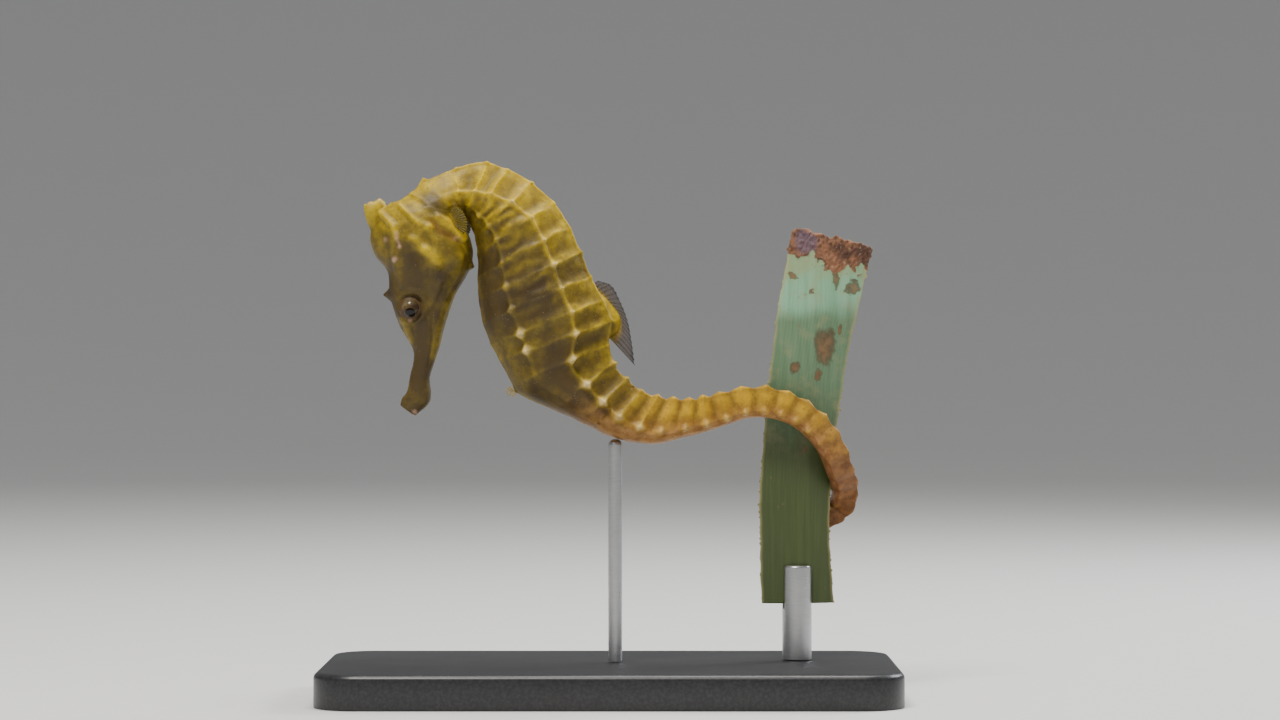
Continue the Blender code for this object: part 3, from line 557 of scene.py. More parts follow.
# %% Drawing the skin out
# Place, radius, and how far the tip is pushed along each axis.
SPINES = (
    ((-25.3, 0, 46.2), 0.95, (-0.85, 0, 0.05)),
    ((-21.55, 0, 59.2), 1.0, (-0.15, 0, 0.85)),
    ((-16.0, -1.0, 49.6), 0.8, (0.55, -0.2, -0.2)),
    ((-16.0, 1.0, 49.6), 0.8, (0.55, 0.2, -0.2)),
)


def spines(points):
    """Draw the skin out to pointed spines."""
    for centre, radius, push in SPINES:
        away = np.linalg.norm(points - np.array(centre), axis=2) / radius
        points = points + np.clip(1 - away, 0, None)[..., None] ** 1.5 * np.array(push)
    return points


CROWN_MIDDLE = (-26.75, 55.15)
CROWN_LENGTH, CROWN_WIDTH = 1.75, 1.45
CROWN_POINTS, CROWN_HEIGHT = 5, 1.62
CROWN_FORE = (0.68, 0.73)
CROWN_TOP, CROWN_RIM, CROWN_RIM_WIDTH = 0.36, 0.42, 0.13
CUP_WIDTH, CUP_DEPTH = 0.22, 0.26


def coronet(points, ring):
    """Raise the crown: its top is wider than the middle of its flanks and has five points.

    Here p runs forwards along the crown and q across it, both from its middle.
    """
    fore_x, fore_z = CROWN_FORE
    dx, dz = points[..., 0] - CROWN_MIDDLE[0], points[..., 2] - CROWN_MIDDLE[1]
    p, q = dx * fore_x + dz * fore_z, points[..., 1]
    sunk = np.abs(dx * -fore_z + dz * fore_x)
    live = ((ring < 0)[:, None] & (sunk < 1.4)) * 1.0
    reach = np.hypot(p / CROWN_LENGTH, q / CROWN_WIDTH)
    turn = np.arctan2(q / CROWN_WIDTH, p / CROWN_LENGTH)
    pointed = (0.5 + 0.5 * np.cos(CROWN_POINTS * turn + math.pi)) ** 1.5
    rise = (1 - ease(CROWN_TOP, 1.0, reach)) * live
    rim = bell(reach - CROWN_RIM, CROWN_RIM_WIDTH) * live
    cup = bell(reach, CUP_WIDTH) * live
    flare = rise + 0.08 * rim * pointed
    lift = rise * (CROWN_HEIGHT - 0.59 * p * (1 + flare)) + rim * (0.06 + 0.20 * pointed) - CUP_DEPTH * cup
    moved = points.copy()
    moved[..., 0] += fore_x * p * flare - 0.50 * rise + 0.08 * p * (1 + flare) * rise
    moved[..., 1] += q * flare * 0.9
    moved[..., 2] += fore_z * p * flare + lift
    return moved, rise, rim * pointed


# How far the skin stands off the ball, by its distance from the middle of the eye.
LID_EDGE, LID_FREE_FROM, LID_FREE_TO = 0.98, 1.22, 1.75
LID_PROFILE = ((0.0, -0.45), (0.7, -0.33), (LID_EDGE, 0.0), (1.10, 0.13), (1.20, 0.19), (1.32, 0.20),
               (1.5, 0.12))


def eyelids(points, ring):
    """Lay the skin over the edge of each eyeball and on under it."""
    away = np.hypot(points[..., 0] - EYE_PLACE[0], points[..., 2] - EYE_PLACE[1])
    side = np.abs(points[..., 1])
    mine = (side > 0.5) & (ring < -4)[:, None]
    ball = EYE_SIDE + np.sqrt(np.clip(EYE_RADIUS**2 - away**2, 0, None))
    laid = ball + ramp(LID_PROFILE, away)
    free = ease(LID_FREE_FROM, LID_FREE_TO, away)
    wanted = laid * (1 - free) + side * free
    wanted = np.where(away < LID_FREE_FROM, laid, np.maximum(wanted, np.minimum(laid, side)))
    moved = points.copy()
    moved[..., 1] = np.where(mine & (away < LID_FREE_TO), np.sign(points[..., 1]) * wanted, points[..., 1])
    return moved, bell(away - LID_EDGE - 0.12, 0.2) * mine


# %% Wind both grids
RING_VALLEY = 0.16
FIN_HUMP, FIN_HUMP_WIDTH = 1.35, 0.55


def rough(grid, scale):
    """Noise at every point of a grid."""
    return np.array([noise.noise(Vector(p) * scale) for p in grid.reshape(-1, 3)]).reshape(grid.shape[:-1])


def fin_hump(ring):
    """The fleshy ridge under the fin of the back, from 0 to its full height."""
    return ease(8.0, 9.9, ring) * (1 - ease(10.45, 10.95, ring)) * FIN_HUMP


def valleys(ring, place, deep):
    """How far the skin sinks between two rings: less on the back, the belly and the tail."""
    sunk = RING_VALLEY * between_rings(ring) * ease(0.0, 2.0, ring) * np.minimum(1, deep / 2)
    belly = on_belly(place)[None] * (1 - past_trunk(ring))[:, None]
    sunk = sunk[:, None] * (1 - 0.7 * belly) * (1 - 0.85 * (1 - ease(2.1, 3.4, place)))[None]
    on_tail = ease(12.5, 15, ring)[:, None]
    return sunk * (1 - on_tail * (0.75 + 0.2 * ease(6.2, 8.4, place)[None]))


def wind(ring, half_count):
    """Points and masks of one grid of the skin."""
    place, turned, sign = places_round(half_count)
    middle, up, side, deep, wide = stations(ring)
    u, w = profiles(ring, place)
    times = 2 if half_count == HALF_COUNT else 1
    u, w = soften(u, times), soften(w * sign, times)
    sunk = valleys(ring, place, deep)
    form = (middle[:, None] + up[:, None] * (u * (deep[:, None] - sunk))[..., None]
            + side[:, None] * (w * (wide[:, None] - sunk))[..., None])
    hump = fin_hump(ring)
    narrow = bell(np.minimum(place, 4.0)[None] * wide[:, None] / 8.5, FIN_HUMP_WIDTH)
    form = form + up[:, None] * (hump[:, None] * narrow)[..., None]
    r = Relief(form, ring, place, turned)
    r.hump = (hump[:, None] / FIN_HUMP) * narrow
    r.broad, r.grain, r.patches = (rough(form, scale) for scale in (0.45, 1.7, 0.8))
    r.bony_rings(deep)
    r.head()
    uneven = (BROAD_ROUGHNESS * r.broad + FINE_ROUGHNESS * r.grain) * (1 - 0.4 * r.past_trunk)
    r.height += uneven * np.minimum(1, deep / 2)[:, None]
    points = form + r.normal * r.height[..., None]
    points, r.crown, r.crown_points = coronet(points, ring)
    points, r.lid = eyelids(spines(points), ring)
    return points, r


front_points, front = wind(FRONT_RINGS, HALF_COUNT)
rear_points, rear = wind(REAR_RINGS, HALF_COUNT // 2)
print("front grid", front_points.shape[:2], "rear grid", rear_points.shape[:2])


# %% Mouth and tail tip
MOUTH_ROWS = 10
TIP_ANGLES = (25, 50, 72, 90)
TIP_LENGTH = 0.45


def direction(start, end):
    return (end - start) / np.linalg.norm(end - start)


def mouth_rows(grid):
    """Rows that roll the lips in and close the mouth."""
    lip = grid[0]
    centre = lip.mean(axis=0)
    inward = direction(centre, grid[12].mean(axis=0))
    rows = []
    for t in np.arange(MOUTH_ROWS, 0, -1) / MOUTH_ROWS:
        narrowed = 1 - 0.30 * math.sin(min(t * 2, 1) * math.pi / 2) - 0.70 * max(t - 0.5, 0) * 2
        rolled = -0.14 * math.sin(min(t * 2.4, 1) * math.pi) + 0.75 * max(t - 0.25, 0)
        rows.append(centre + (lip - centre) * narrowed + inward * rolled)
    return np.array(rows)


def tip_rows(grid):
    """Rows that round off the end of the tail."""
    end = grid[-1]
    centre = end.mean(axis=0)
    onward = direction(grid[-4].mean(axis=0), centre)
    return np.array([centre + (end - centre) * math.cos(a) + onward * TIP_LENGTH * math.sin(a)
                     for a in np.radians(TIP_ANGLES)])


# %% [markdown]
# ## Painting by ring and place
# A living seahorse is yellow over the back by its fin, olive on the flank, tan under the tail and
# brown round the eye. A painter would brush that on; painted shade also darkens the belly, the lower
# face and the hollows. Here each point of the skin is given a few numbers from 0 to 1, worked out from
# the same ring and place, and the finish mixes its colours by them. So the paint stays on its ring
# wherever the body goes.


# %% Masks for the paint
def tone_and_painted_shade(r):
    """How light the skin is: bright over back and crown, dark on flank, face and belly, partly painted shade.
    """
    R, Q, Z = r.R, r.Q, r.Z

    # the back is brightest by its fin; the flank darkens behind the neck and low down, partly painted shade,
    # and is light along the belly; fold crests get painted light
    flank = ease(4.7, 5.9, Q)
    back = 0.92 - 0.30 * ease(4.2, 7.0, R) - 0.12 * ease(9, 11, R) + 0.42 * r.hump
    low = 0.62 - 0.38 * ease(3.5, 7.0, R) - 0.24 * ease(7.3, 8.5, Q) * (1 - 0.7 * ease(6, 10, R))
    low = low + 0.15 * r.fold + 0.16 * ease(10.6, 11.6, Q) + 0.16 * bell(R - 10.6, 1.5) * ease(6.5, 8.0, Q)

    # two darker bands cross the flank, and every plate has a shade of its own
    bands = bell(Z - 45.6, 2.0) + bell(Z - 37.6, 2.5)
    low = low - 0.24 * bell(Q - 6.3, 1.1) * bands * (1 - ease(11.5, 13, R))
    body = back * (1 - flank) + low * flank + 0.10 * r.ring_line + 0.06 * r.ridge
    plate = np.floor(R)
    body = body + 0.05 * np.sin(plate * 4.1 + 2.0 * (Q > SIDE) + 1.0) + 0.04 * np.sin(plate * 2.3 + 1.3)
    body = body - 0.14 * bell(R - 12.0, 1.3) * flank * (1 - r.star)

    # the face is dark below and bright towards the crown, partly painted shade and light from above; lit
    # areas are painted light, dusky ones dark marks and painted shade; its ridges are lighter
    head = 0.13 + 0.57 * ease(45.0, 57.5, Z) ** 1.3 - 0.06 * bell(Z - 47.5, 1.6)
    head = head + 0.34 * r.lit - 0.22 * r.dusky
    forms = 0.30 * r.crown + 0.20 * (r.crest + r.temple) + 0.40 * r.cheek + 0.60 * r.lobe
    blend = ease(-0.2, 2.0, R)
    return head * (1 - blend) + body * blend + forms * (r.on_head > 0)


def pale_marks(r):
    """The pale nodes where ridges and rings cross, the lines between them and the head's ridges."""
    lines = 0.12 * r.ridge * (1 - 0.8 * ease(6, 7, r.Q)) + 0.12 * r.ring_line * r.upper
    body = np.clip(r.star + lines * (1 - r.on_tail), 0, 1) * r.body * (1 - 0.45 * ease(20, 27, r.R))
    head = 0.22 * r.crest + 0.22 * r.temple + 0.30 * r.cheek + 0.18 * r.lobe + 0.15 * r.neck
    return body + np.clip(head, 0, 1)


def shaded_hollows(r):
    """Painted shade: the sunk insides of the plates, beside the ridges, between the tail's rings, in the
    head's slits and hollows and in the troughs of the folds.
    """
    R, Q, on_trunk = r.R, r.Q, 1 - r.on_tail
    sunk = np.clip(0.42 - (r.height + 0.05 * r.body) / 0.20, 0, 1) * (0.25 + 0.75 * r.body) * on_trunk
    plates = r.middle**1.5 * bell(Q - 3.6, 1.25) * r.body * (0.34 + 0.34 * bell(R - 11.5, 4.0)) * on_trunk
    low_plates = r.middle**1.5 * bell(Q - 6.6, 1.2) * ease(5, 8, R) * (1 - r.pouch) * (1 - ease(11, 12, R))
    groove = r.middle**4 * r.on_tail * (1 - ease(5.0, 6.8, Q)) * (1 - 0.75 * ease(21, 26, R))
    groove = groove * (0.72 + 0.28 * np.sin(np.floor(R) * 3.7 + Q * 0.6))
    head = 0.55 * r.slit + 0.5 * r.gill_edge + 0.4 * r.hollow_cheek
    return (sunk + plates + 0.35 * low_plates + 0.30 * r.beside * (1 - r.star) + 0.46 * groove + head
            + 0.10 * np.clip(-r.fold, 0, 1))


def painted(r):
    """The masks that the finish reads, each from 0 to 1."""
    R, Q = r.R, r.Q
    blob = r.bead * bell(Q - 2.9, 1.0) * (1 - ease(23, 27, R)) * (0.8 + 0.2 * np.sin(np.round(R) * 2.9))
    lower = ease(3.6, 6.0, Q) * ease(13.5, 17, R) + ease(5.6, 7.4, Q) * ease(11.5, 15, R)
    masks = {
        "tone": tone_and_painted_shade(r) + 0.35 * blob,
        "orange": ease(11.5, 16.5, R) * (0.48 + 0.52 * ease(3.4, 5.6, Q)) + 0.6 * r.slit + 0.15 * r.lobe,
        "lower": lower + 0.5 * (1 - ease(1.0, 2.2, Q)) * ease(13.0, 16.0, R),
        "blob": blob, "tail_end": ease(21.0, 28.0, R), "pale": pale_marks(r), "hollow": shaded_hollows(r),
        "pink": r.spots + 0.5 * r.crown_points, "head": r.on_head, "lid": r.lid, "dusky": r.dusky,
        "crown": r.crown,
    }
    return {key: np.clip(values, 0, 1) for key, values in masks.items()}


# %% Turn the rows into a mesh
DOUBLES, THIN_DOUBLES = 1e-7, 2e-6


def select_only(thing):
    bpy.ops.object.select_all(action="DESELECT")
    thing.select_set(True)
    bpy.context.view_layer.objects.active = thing


def added(name, primitive, **settings):
    """Add a primitive while nothing else is selected."""
    bpy.ops.object.select_all(action="DESELECT")
    primitive(**settings)
    bpy.context.object.name = name
    return bpy.context.object


def wound_mesh(name, grid, masks, before=0, after=0):
    """Grid primitive whose rows are set to closed sections and whose two edges are welded."""
    rows, count = grid.shape[:2]
    thing = added(name, bpy.ops.mesh.primitive_grid_add, x_subdivisions=count, y_subdivisions=rows - 1,
                  size=2.0)
    flat = np.empty(len(thing.data.vertices) * 3)
    thing.data.vertices.foreach_get("co", flat)
    flat = flat.reshape(-1, 3)
    column = np.rint((flat[:, 0] + 1) / 2 * count).astype(int) % count
    row = np.rint((flat[:, 1] + 1) / 2 * (rows - 1)).astype(int)
    thing.data.vertices.foreach_set("co", (grid[row, column] * MM).ravel())
    for key, values in masks.items():
        values = np.concatenate([np.repeat(values[:1], before, 0), values, np.repeat(values[-1:], after, 0)])
        layer = thing.data.attributes.new(key, "FLOAT", "POINT")
        layer.data.foreach_set("value", values[row, column].astype(np.float32))
    bpy.ops.object.mode_set(mode="EDIT")
    bpy.ops.mesh.select_all(action="SELECT")
    bpy.ops.mesh.remove_doubles(threshold=DOUBLES)
    bpy.ops.object.mode_set(mode="OBJECT")
    return thing


def close_thin(thing):
    """Close a flat wound piece along its edges, and turn its faces outwards."""
    bpy.ops.object.mode_set(mode="EDIT")
    bpy.ops.mesh.select_all(action="SELECT")
    bpy.ops.mesh.remove_doubles(threshold=THIN_DOUBLES)
    bpy.ops.mesh.normals_make_consistent(inside=False)
    bpy.ops.object.mode_set(mode="OBJECT")
    thing.data.shade_smooth()


mouth = mouth_rows(front_points)
tip = tip_rows(rear_points)
skin = wound_mesh("seahorse_skin", np.concatenate([mouth, front_points]), painted(front), before=len(mouth))
tail = wound_mesh("tail_skin", np.concatenate([rear_points, tip]), painted(rear), after=len(tip))

# %% Bridge the tail to the trunk
joint_middle = Vector(stations([JOINT_RING])[0][0] * MM)
joint_reach = 4.5 * MM
select_only(skin)
tail.select_set(True)
bpy.ops.object.join()
bpy.ops.object.mode_set(mode="EDIT")
bpy.ops.mesh.select_all(action="DESELECT")
mesh = bmesh.from_edit_mesh(skin.data)
for edge in mesh.edges:
    edge_middle = (edge.verts[0].co + edge.verts[1].co) / 2
    if edge.is_boundary and (edge_middle - joint_middle).length < joint_reach:
        edge.select = True
picked = sum(edge.select for edge in mesh.edges)
bmesh.update_edit_mesh(skin.data)
bpy.ops.mesh.bridge_edge_loops()
bpy.ops.mesh.select_all(action="SELECT")
bpy.ops.mesh.dissolve_degenerate(threshold=1e-8)
bpy.ops.mesh.select_all(action="DESELECT")
bpy.ops.mesh.select_non_manifold()
mesh = bmesh.from_edit_mesh(skin.data)
loose = sum(vert.select for vert in mesh.verts)
bpy.ops.mesh.select_all(action="SELECT")
bpy.ops.mesh.normals_make_consistent(inside=False)
bpy.ops.object.mode_set(mode="OBJECT")
skin.data.shade_smooth()
triangles = sum(len(p.vertices) - 2 for p in skin.data.polygons)
print(skin.name, "edges bridged", picked, "open points left", loose, "triangles", triangles)
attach(skin, "root")
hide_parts("head", "snout", "coronet", "neck", "trunk_upper", "trunk_middle", "trunk_lower", "pouch",
            *[f"tail_{n}" for n in range(1, 8)])


# %% [markdown]
# ## Finishes
# Node maths is written through a small class, so that a formula reads as a formula. A material is a
# graph of nodes that ends in one shader: what varies over the surface is linked to it, and what is
# the same all over is set on the shader itself.

# %% Shader helpers
class Socket:
    """An output socket that can be used in plain arithmetic."""

    def __init__(self, graph, output):
        self.graph = graph
        self.output = output

    def __add__(self, other):
        return self.graph.maths("ADD", self, other)

    def __radd__(self, other):
        return self.graph.maths("ADD", other, self)

    def __sub__(self, other):
        return self.graph.maths("SUBTRACT", self, other)

    def __rsub__(self, other):
        return self.graph.maths("SUBTRACT", other, self)

    def __mul__(self, other):
        return self.graph.maths("MULTIPLY", self, other)

    def __rmul__(self, other):
        return self.graph.maths("MULTIPLY", other, self)

    def __truediv__(self, other):
        return self.graph.maths("DIVIDE", self, other)

    def __abs__(self):
        return self.graph.maths("ABSOLUTE", self, 0.0)

    def between(self, low, high):
        """0 at low, 1 at high and smooth in between; low may be the higher of the two."""
        settings = {"interpolation_type": "SMOOTHSTEP", "clamp": True}
        inputs = {"Value": self, "From Min": low, "From Max": high}
        return self.graph.add("ShaderNodeMapRange", settings, inputs)


class Graph:
    """A material and the nodes that feed its Principled shader."""

    def __init__(self, name, constants):
        self.material = bpy.data.materials.new(name)
        self.material.use_nodes = True
        self.tree = self.material.node_tree
        self.shader = self.tree.nodes["Principled BSDF"]
        for key, value in constants.items():
            self.shader.inputs[key].default_value = value
        self.place = self.add("ShaderNodeTexCoord", {}, {}, "Object")

    def add(self, kind, settings, inputs, output=0):
        """Any node: its settings first, then the values or links of its sockets."""
        node = self.tree.nodes.new(kind)
        for key, value in settings.items():
            setattr(node, key, value)
        for key, value in inputs.items():
            if isinstance(value, Socket):
                self.tree.links.new(value.output, node.inputs[key])
            else:
                node.inputs[key].default_value = value
        return Socket(self, node.outputs[output])

    def maths(self, operation, first, second):
        return self.add("ShaderNodeMath", {"operation": operation}, {0: first, 1: second})

    def mix(self, share, first, second):
        """Colour that goes from the first to the second as the share goes from 0 to 1."""
        def colour(value):
            return value if isinstance(value, Socket) else (*value, 1.0)
        settings = {"data_type": "RGBA", "blend_type": "MIX", "clamp_factor": True}
        return self.add("ShaderNodeMix", settings, {0: share, 6: colour(first), 7: colour(second)}, 2)

    def attribute(self, name):
        return self.add("ShaderNodeAttribute", {"attribute_name": name}, {}, "Fac")

    def noise(self, scale, detail=3.0, roughness=0.5, vector=None):
        inputs = {"Vector": vector or self.place, "Scale": scale, "Detail": detail, "Roughness": roughness}
        return self.add("ShaderNodeTexNoise", {}, inputs)

    def cells(self, scale):
        return self.add("ShaderNodeTexVoronoi", {"feature": "F1"}, {"Vector": self.place, "Scale": scale},
                        "Distance")

    def stretched(self, scale):
        return self.add("ShaderNodeMapping", {}, {"Vector": self.place, "Scale": scale})

    def place_in_mm(self, axes):
        """The point's place along the named axes."""
        split = self.add("ShaderNodeSeparateXYZ", {}, {0: self.place}).output.node
        return [Socket(self, split.outputs[axis]) / MM for axis in axes]

    def feed(self, name, value):
        self.tree.links.new(value.output, self.shader.inputs[name])

    def bump(self, height, distance, strength):
        inputs = {"Height": height, "Distance": distance, "Strength": strength}
        self.feed("Normal", self.add("ShaderNodeBump", {}, inputs))


# %% Skin finish
# Colours are linear red, green and blue. A pair is mottled: the skin goes from one to the other.
DARK = ((0.034, 0.022, 0.008), (0.064, 0.043, 0.012))
OLIVE = ((0.130, 0.090, 0.005), (0.21, 0.148, 0.008))
YELLOW = ((0.43, 0.285, 0.001), (0.62, 0.43, 0.002))
TAN = ((0.36, 0.145, 0.010), (0.58, 0.29, 0.030))
GOLD = ((0.50, 0.255, 0.004), (0.68, 0.40, 0.010))
BRICK = ((0.27, 0.120, 0.034), (0.46, 0.235, 0.085))
RUST = ((0.150, 0.050, 0.020), (0.30, 0.120, 0.055))
NODE_CREAM = ((0.66, 0.46, 0.02), (0.80, 0.61, 0.25))
HEAD_CREAM, CROWN_YELLOW, SPOT_PINK = (0.66, 0.50, 0.010), (0.50, 0.40, 0.004), (0.70, 0.42, 0.30)
FACE_BROWN, LID_BROWN, SHADE_BROWN = (0.050, 0.034, 0.010), (0.070, 0.032, 0.014), (0.040, 0.021, 0.002)
DOT_BROWN, DOT_CREAM, GRAIN_BROWN = (0.06, 0.035, 0.006), (0.80, 0.66, 0.30), (0.10, 0.055, 0.004)


def skin_finish():
    g = Graph("skin_painted", {
        "Specular IOR Level": 0.30, "Coat Weight": 0.05, "Coat Roughness": 0.22,
        "Subsurface Weight": 0.10, "Subsurface Radius": (1.0, 0.5, 0.1), "Subsurface Scale": 0.8 * MM})
    tone, pale, orange = g.attribute("tone"), g.attribute("pale"), g.attribute("orange")
    hollow, tail_end = g.attribute("hollow"), g.attribute("tail_end")
    cloud = g.noise(260.0, 4.0)
    mottle = g.noise(900.0, 5.0, 0.6)
    fine = g.noise(3200.0, 4.0, 0.6)

    # from dark through olive to yellow, by how light the skin is there, painted shade included
    amount = tone + (mottle - 0.5) * 0.34 + (cloud - 0.5) * 0.24
    dark = g.mix(cloud.between(0.3, 0.7), *DARK)
    olive = g.mix(mottle.between(0.35, 0.65), *OLIVE)
    yellow = g.mix(mottle.between(0.35, 0.7), *YELLOW)
    colour = g.mix(amount.between(0.02, 0.46), dark, olive)
    colour = g.mix(amount.between(0.40, 0.96), colour, yellow)

    # the tail turns tan, golden on its rings, brick red below and rusty towards its tip
    tan = g.mix(mottle.between(0.35, 0.65), *TAN)
    colour = g.mix(orange * (0.95 - tone * 0.30), colour, tan)
    colour = g.mix(g.attribute("blob") * 0.75, colour, g.mix(mottle, *GOLD))
    brick = g.mix(mottle.between(0.3, 0.7), *BRICK)
    colour = g.mix(g.attribute("lower") * 0.75, colour, brick)
    rust = g.mix(mottle.between(0.3, 0.7), *RUST)
    colour = g.mix(tail_end * 0.85, colour, rust)

    # nodes and ridges are pale, and broken up by the mottling
    cream = g.mix(g.attribute("head"), g.mix(pale.between(0.25, 0.95), *NODE_CREAM), HEAD_CREAM)
    broken = 0.30 + 0.55 * cloud.between(0.38, 0.60) + (mottle - 0.5) * 0.9
    colour = g.mix(pale * (broken * 0.8 + pale * 0.22), colour, cream)
    colour = g.mix(g.attribute("crown") * (0.45 + mottle * 0.4), colour, CROWN_YELLOW)
    # dark brown marks of the face, with painted shade under the eye, over it and down the snout
    colour = g.mix(g.attribute("dusky") * (0.50 + cloud * 0.45), colour, FACE_BROWN)
    colour = g.mix(g.attribute("pink") * 0.75, colour, SPOT_PINK)
    colour = g.mix(g.attribute("lid") * (0.55 + mottle * 0.6), colour, LID_BROWN)
    # painted shade in the hollows, beside the ridges, between the tail's beads and in the head's slits
    colour = g.mix(hollow * 0.70, colour, SHADE_BROWN)

    # dark dots, fewer light ones, and the pebbled grain of the skin
    dots = g.cells(1500.0).between(0.30, 0.12) * mottle.between(0.42, 0.62)
    colour = g.mix(dots * 0.40, colour, DOT_BROWN)
    light_dots = g.cells(2300.0).between(0.18, 0.08) * (1 - mottle.between(0.35, 0.6))
    colour = g.mix(light_dots * 0.22, colour, DOT_CREAM)
    pebbles = g.cells(4200.0).between(0.0, 0.7)
    colour = g.mix(pebbles * 0.16, colour, GRAIN_BROWN)
    g.feed("Base Color", colour)
    g.feed("Roughness", 0.44 + mottle * 0.22 + hollow * 0.12)
    g.bump(mottle * 0.6 + fine * 0.25 - pebbles * 0.22, 0.08 * MM, 0.45)
    return g.material


skin.data.materials.clear()
skin.data.materials.append(skin_finish())
print(skin.name, "finish", skin.data.materials[0].name)

# %% [markdown]
# ## Eyes
# Each eye is a ball of its own under the lids. A seahorse turns its eyes one by one, so the pupil need
# not look straight out. The iris is painted from the angle to the line of sight, with rays and flecks,
# and a painted highlight over its top and painted shade below.

# %% Eyeballs
GAZE = Vector((0.0, 0.88, -0.44)).normalized()
CORNEA_HEIGHT, CORNEA_COSINE = 0.10, 0.80


def settle(thing):
    """Leave the object at the origin with its place in its mesh."""
    select_only(thing)
    bpy.ops.object.transform_apply(location=True, rotation=True, scale=True)


def eyeball(name, sign):
    """Ball with a clear bulge, the cornea, where it looks."""
    place = (EYE_PLACE[0] * MM, sign * EYE_SIDE * MM, EYE_PLACE[1] * MM)
    ball = added(name, bpy.ops.mesh.primitive_uv_sphere_add, segments=72, ring_count=36,
                 radius=EYE_RADIUS * MM, location=place)
    settle(ball)
    points = np.array([v.co[:] for v in ball.data.vertices]) / MM
    away = points - np.array(place) / MM
    sight = np.array((GAZE.x, sign * GAZE.y, GAZE.z))
    cornea = CORNEA_HEIGHT * ease(CORNEA_COSINE, 1.0, away @ sight / EYE_RADIUS)
    points += sight * cornea[:, None]
    ball.data.vertices.foreach_set("co", (points * MM).ravel())
    ball.data.shade_smooth()
    return ball


PUPIL_ANGLE, PUPIL_BLACK = 0.61, (0.007, 0.005, 0.004)
IRIS = ((0.075, 0.050, 0.022), (0.120, 0.088, 0.040))
IRIS_FLECK, IRIS_SHADE, IRIS_HIGHLIGHT = (0.16, 0.125, 0.06), (0.032, 0.017, 0.012), (0.19, 0.165, 0.085)
PUPIL_RIM, IRIS_EDGE = (0.20, 0.12, 0.02), (0.050, 0.030, 0.016)


def eye_finish():
    g = Graph("eye_glass", {"Roughness": 0.07, "IOR": 1.36})
    x, y, z = g.place_in_mm("XYZ")
    dx = (x - EYE_PLACE[0]) / EYE_RADIUS
    dy = (abs(y) - EYE_SIDE) / EYE_RADIUS
    dz = (z - EYE_PLACE[1]) / EYE_RADIUS
    cosine = dx * GAZE.x + dy * GAZE.y + dz * GAZE.z
    angle = g.maths("ARCCOSINE", cosine * 0.93, 0.0)
    away = g.add("ShaderNodeCombineXYZ", {}, {0: dx - cosine * GAZE.x, 1: dy - cosine * GAZE.y,
                                             2: dz - cosine * GAZE.z})
    turn = g.add("ShaderNodeVectorMath", {"operation": "NORMALIZE"}, {0: away})
    rays = g.noise(7.0, 3.0, 0.6, vector=turn)
    flecks = g.noise(2600.0, 3.0, 0.6)
    iris = g.mix(rays.between(0.30, 0.70), *IRIS)
    iris = g.mix(flecks.between(0.48, 0.66) * 0.4, iris, IRIS_FLECK)
    # painted shade over the lower iris, and a painted highlight of the light above over its upper part
    upward = dz - dx * 0.55
    iris = g.mix(upward.between(0.42, -0.05) * 0.9, iris, IRIS_SHADE)
    iris = g.mix(upward.between(0.30, 0.85) * 0.85, iris, IRIS_HIGHLIGHT)
    iris = g.mix(angle.between(0.69, 0.60) * 0.35, iris, PUPIL_RIM)
    iris = g.mix(angle.between(0.95, 1.20) * 0.6, iris, IRIS_EDGE)
    pupil = angle.between(PUPIL_ANGLE, PUPIL_ANGLE - 0.05)
    g.feed("Base Color", g.mix(pupil, iris, PUPIL_BLACK))
    return g.material


EYE_GLASS = eye_finish()
for side, sign in (("left", -1), ("right", 1)):
    ball = eyeball(f"eyeball_{side}", sign)
    ball.data.materials.append(EYE_GLASS)
    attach(ball, "root")
    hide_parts(f"eye_{side}")
print("eyeballs", EYE_RADIUS * 2, "mm wide")

# %% [markdown]
# ## Fins
# A seahorse swims with a small fan on its back, one behind each cheek and a tiny one under the belly.
# Each is a clear film held by soft rays. It is wound round like the skin, as a very flat section that
# is thicker at each ray, so it is a closed shape that can be made, and not a sheet without thickness.


# %% Fan-shaped fins
def along_line(line, t):
    """Points at shares t of a line's length, smoothly between its given points."""
    line = np.array(line, float)
    steps = np.concatenate([[0], np.cumsum(np.linalg.norm(np.diff(line, axis=0), axis=1))])
    rows = [(float(k), tuple(p)) for k, p in zip(steps / steps[-1], line)]
    return curve_through(rows, 1, t)


RAY_JOINTS, RAY_ROOT = 9, 0.06
MARGIN_NOTCH, RAY_BILLOW = 0.045, 0.025


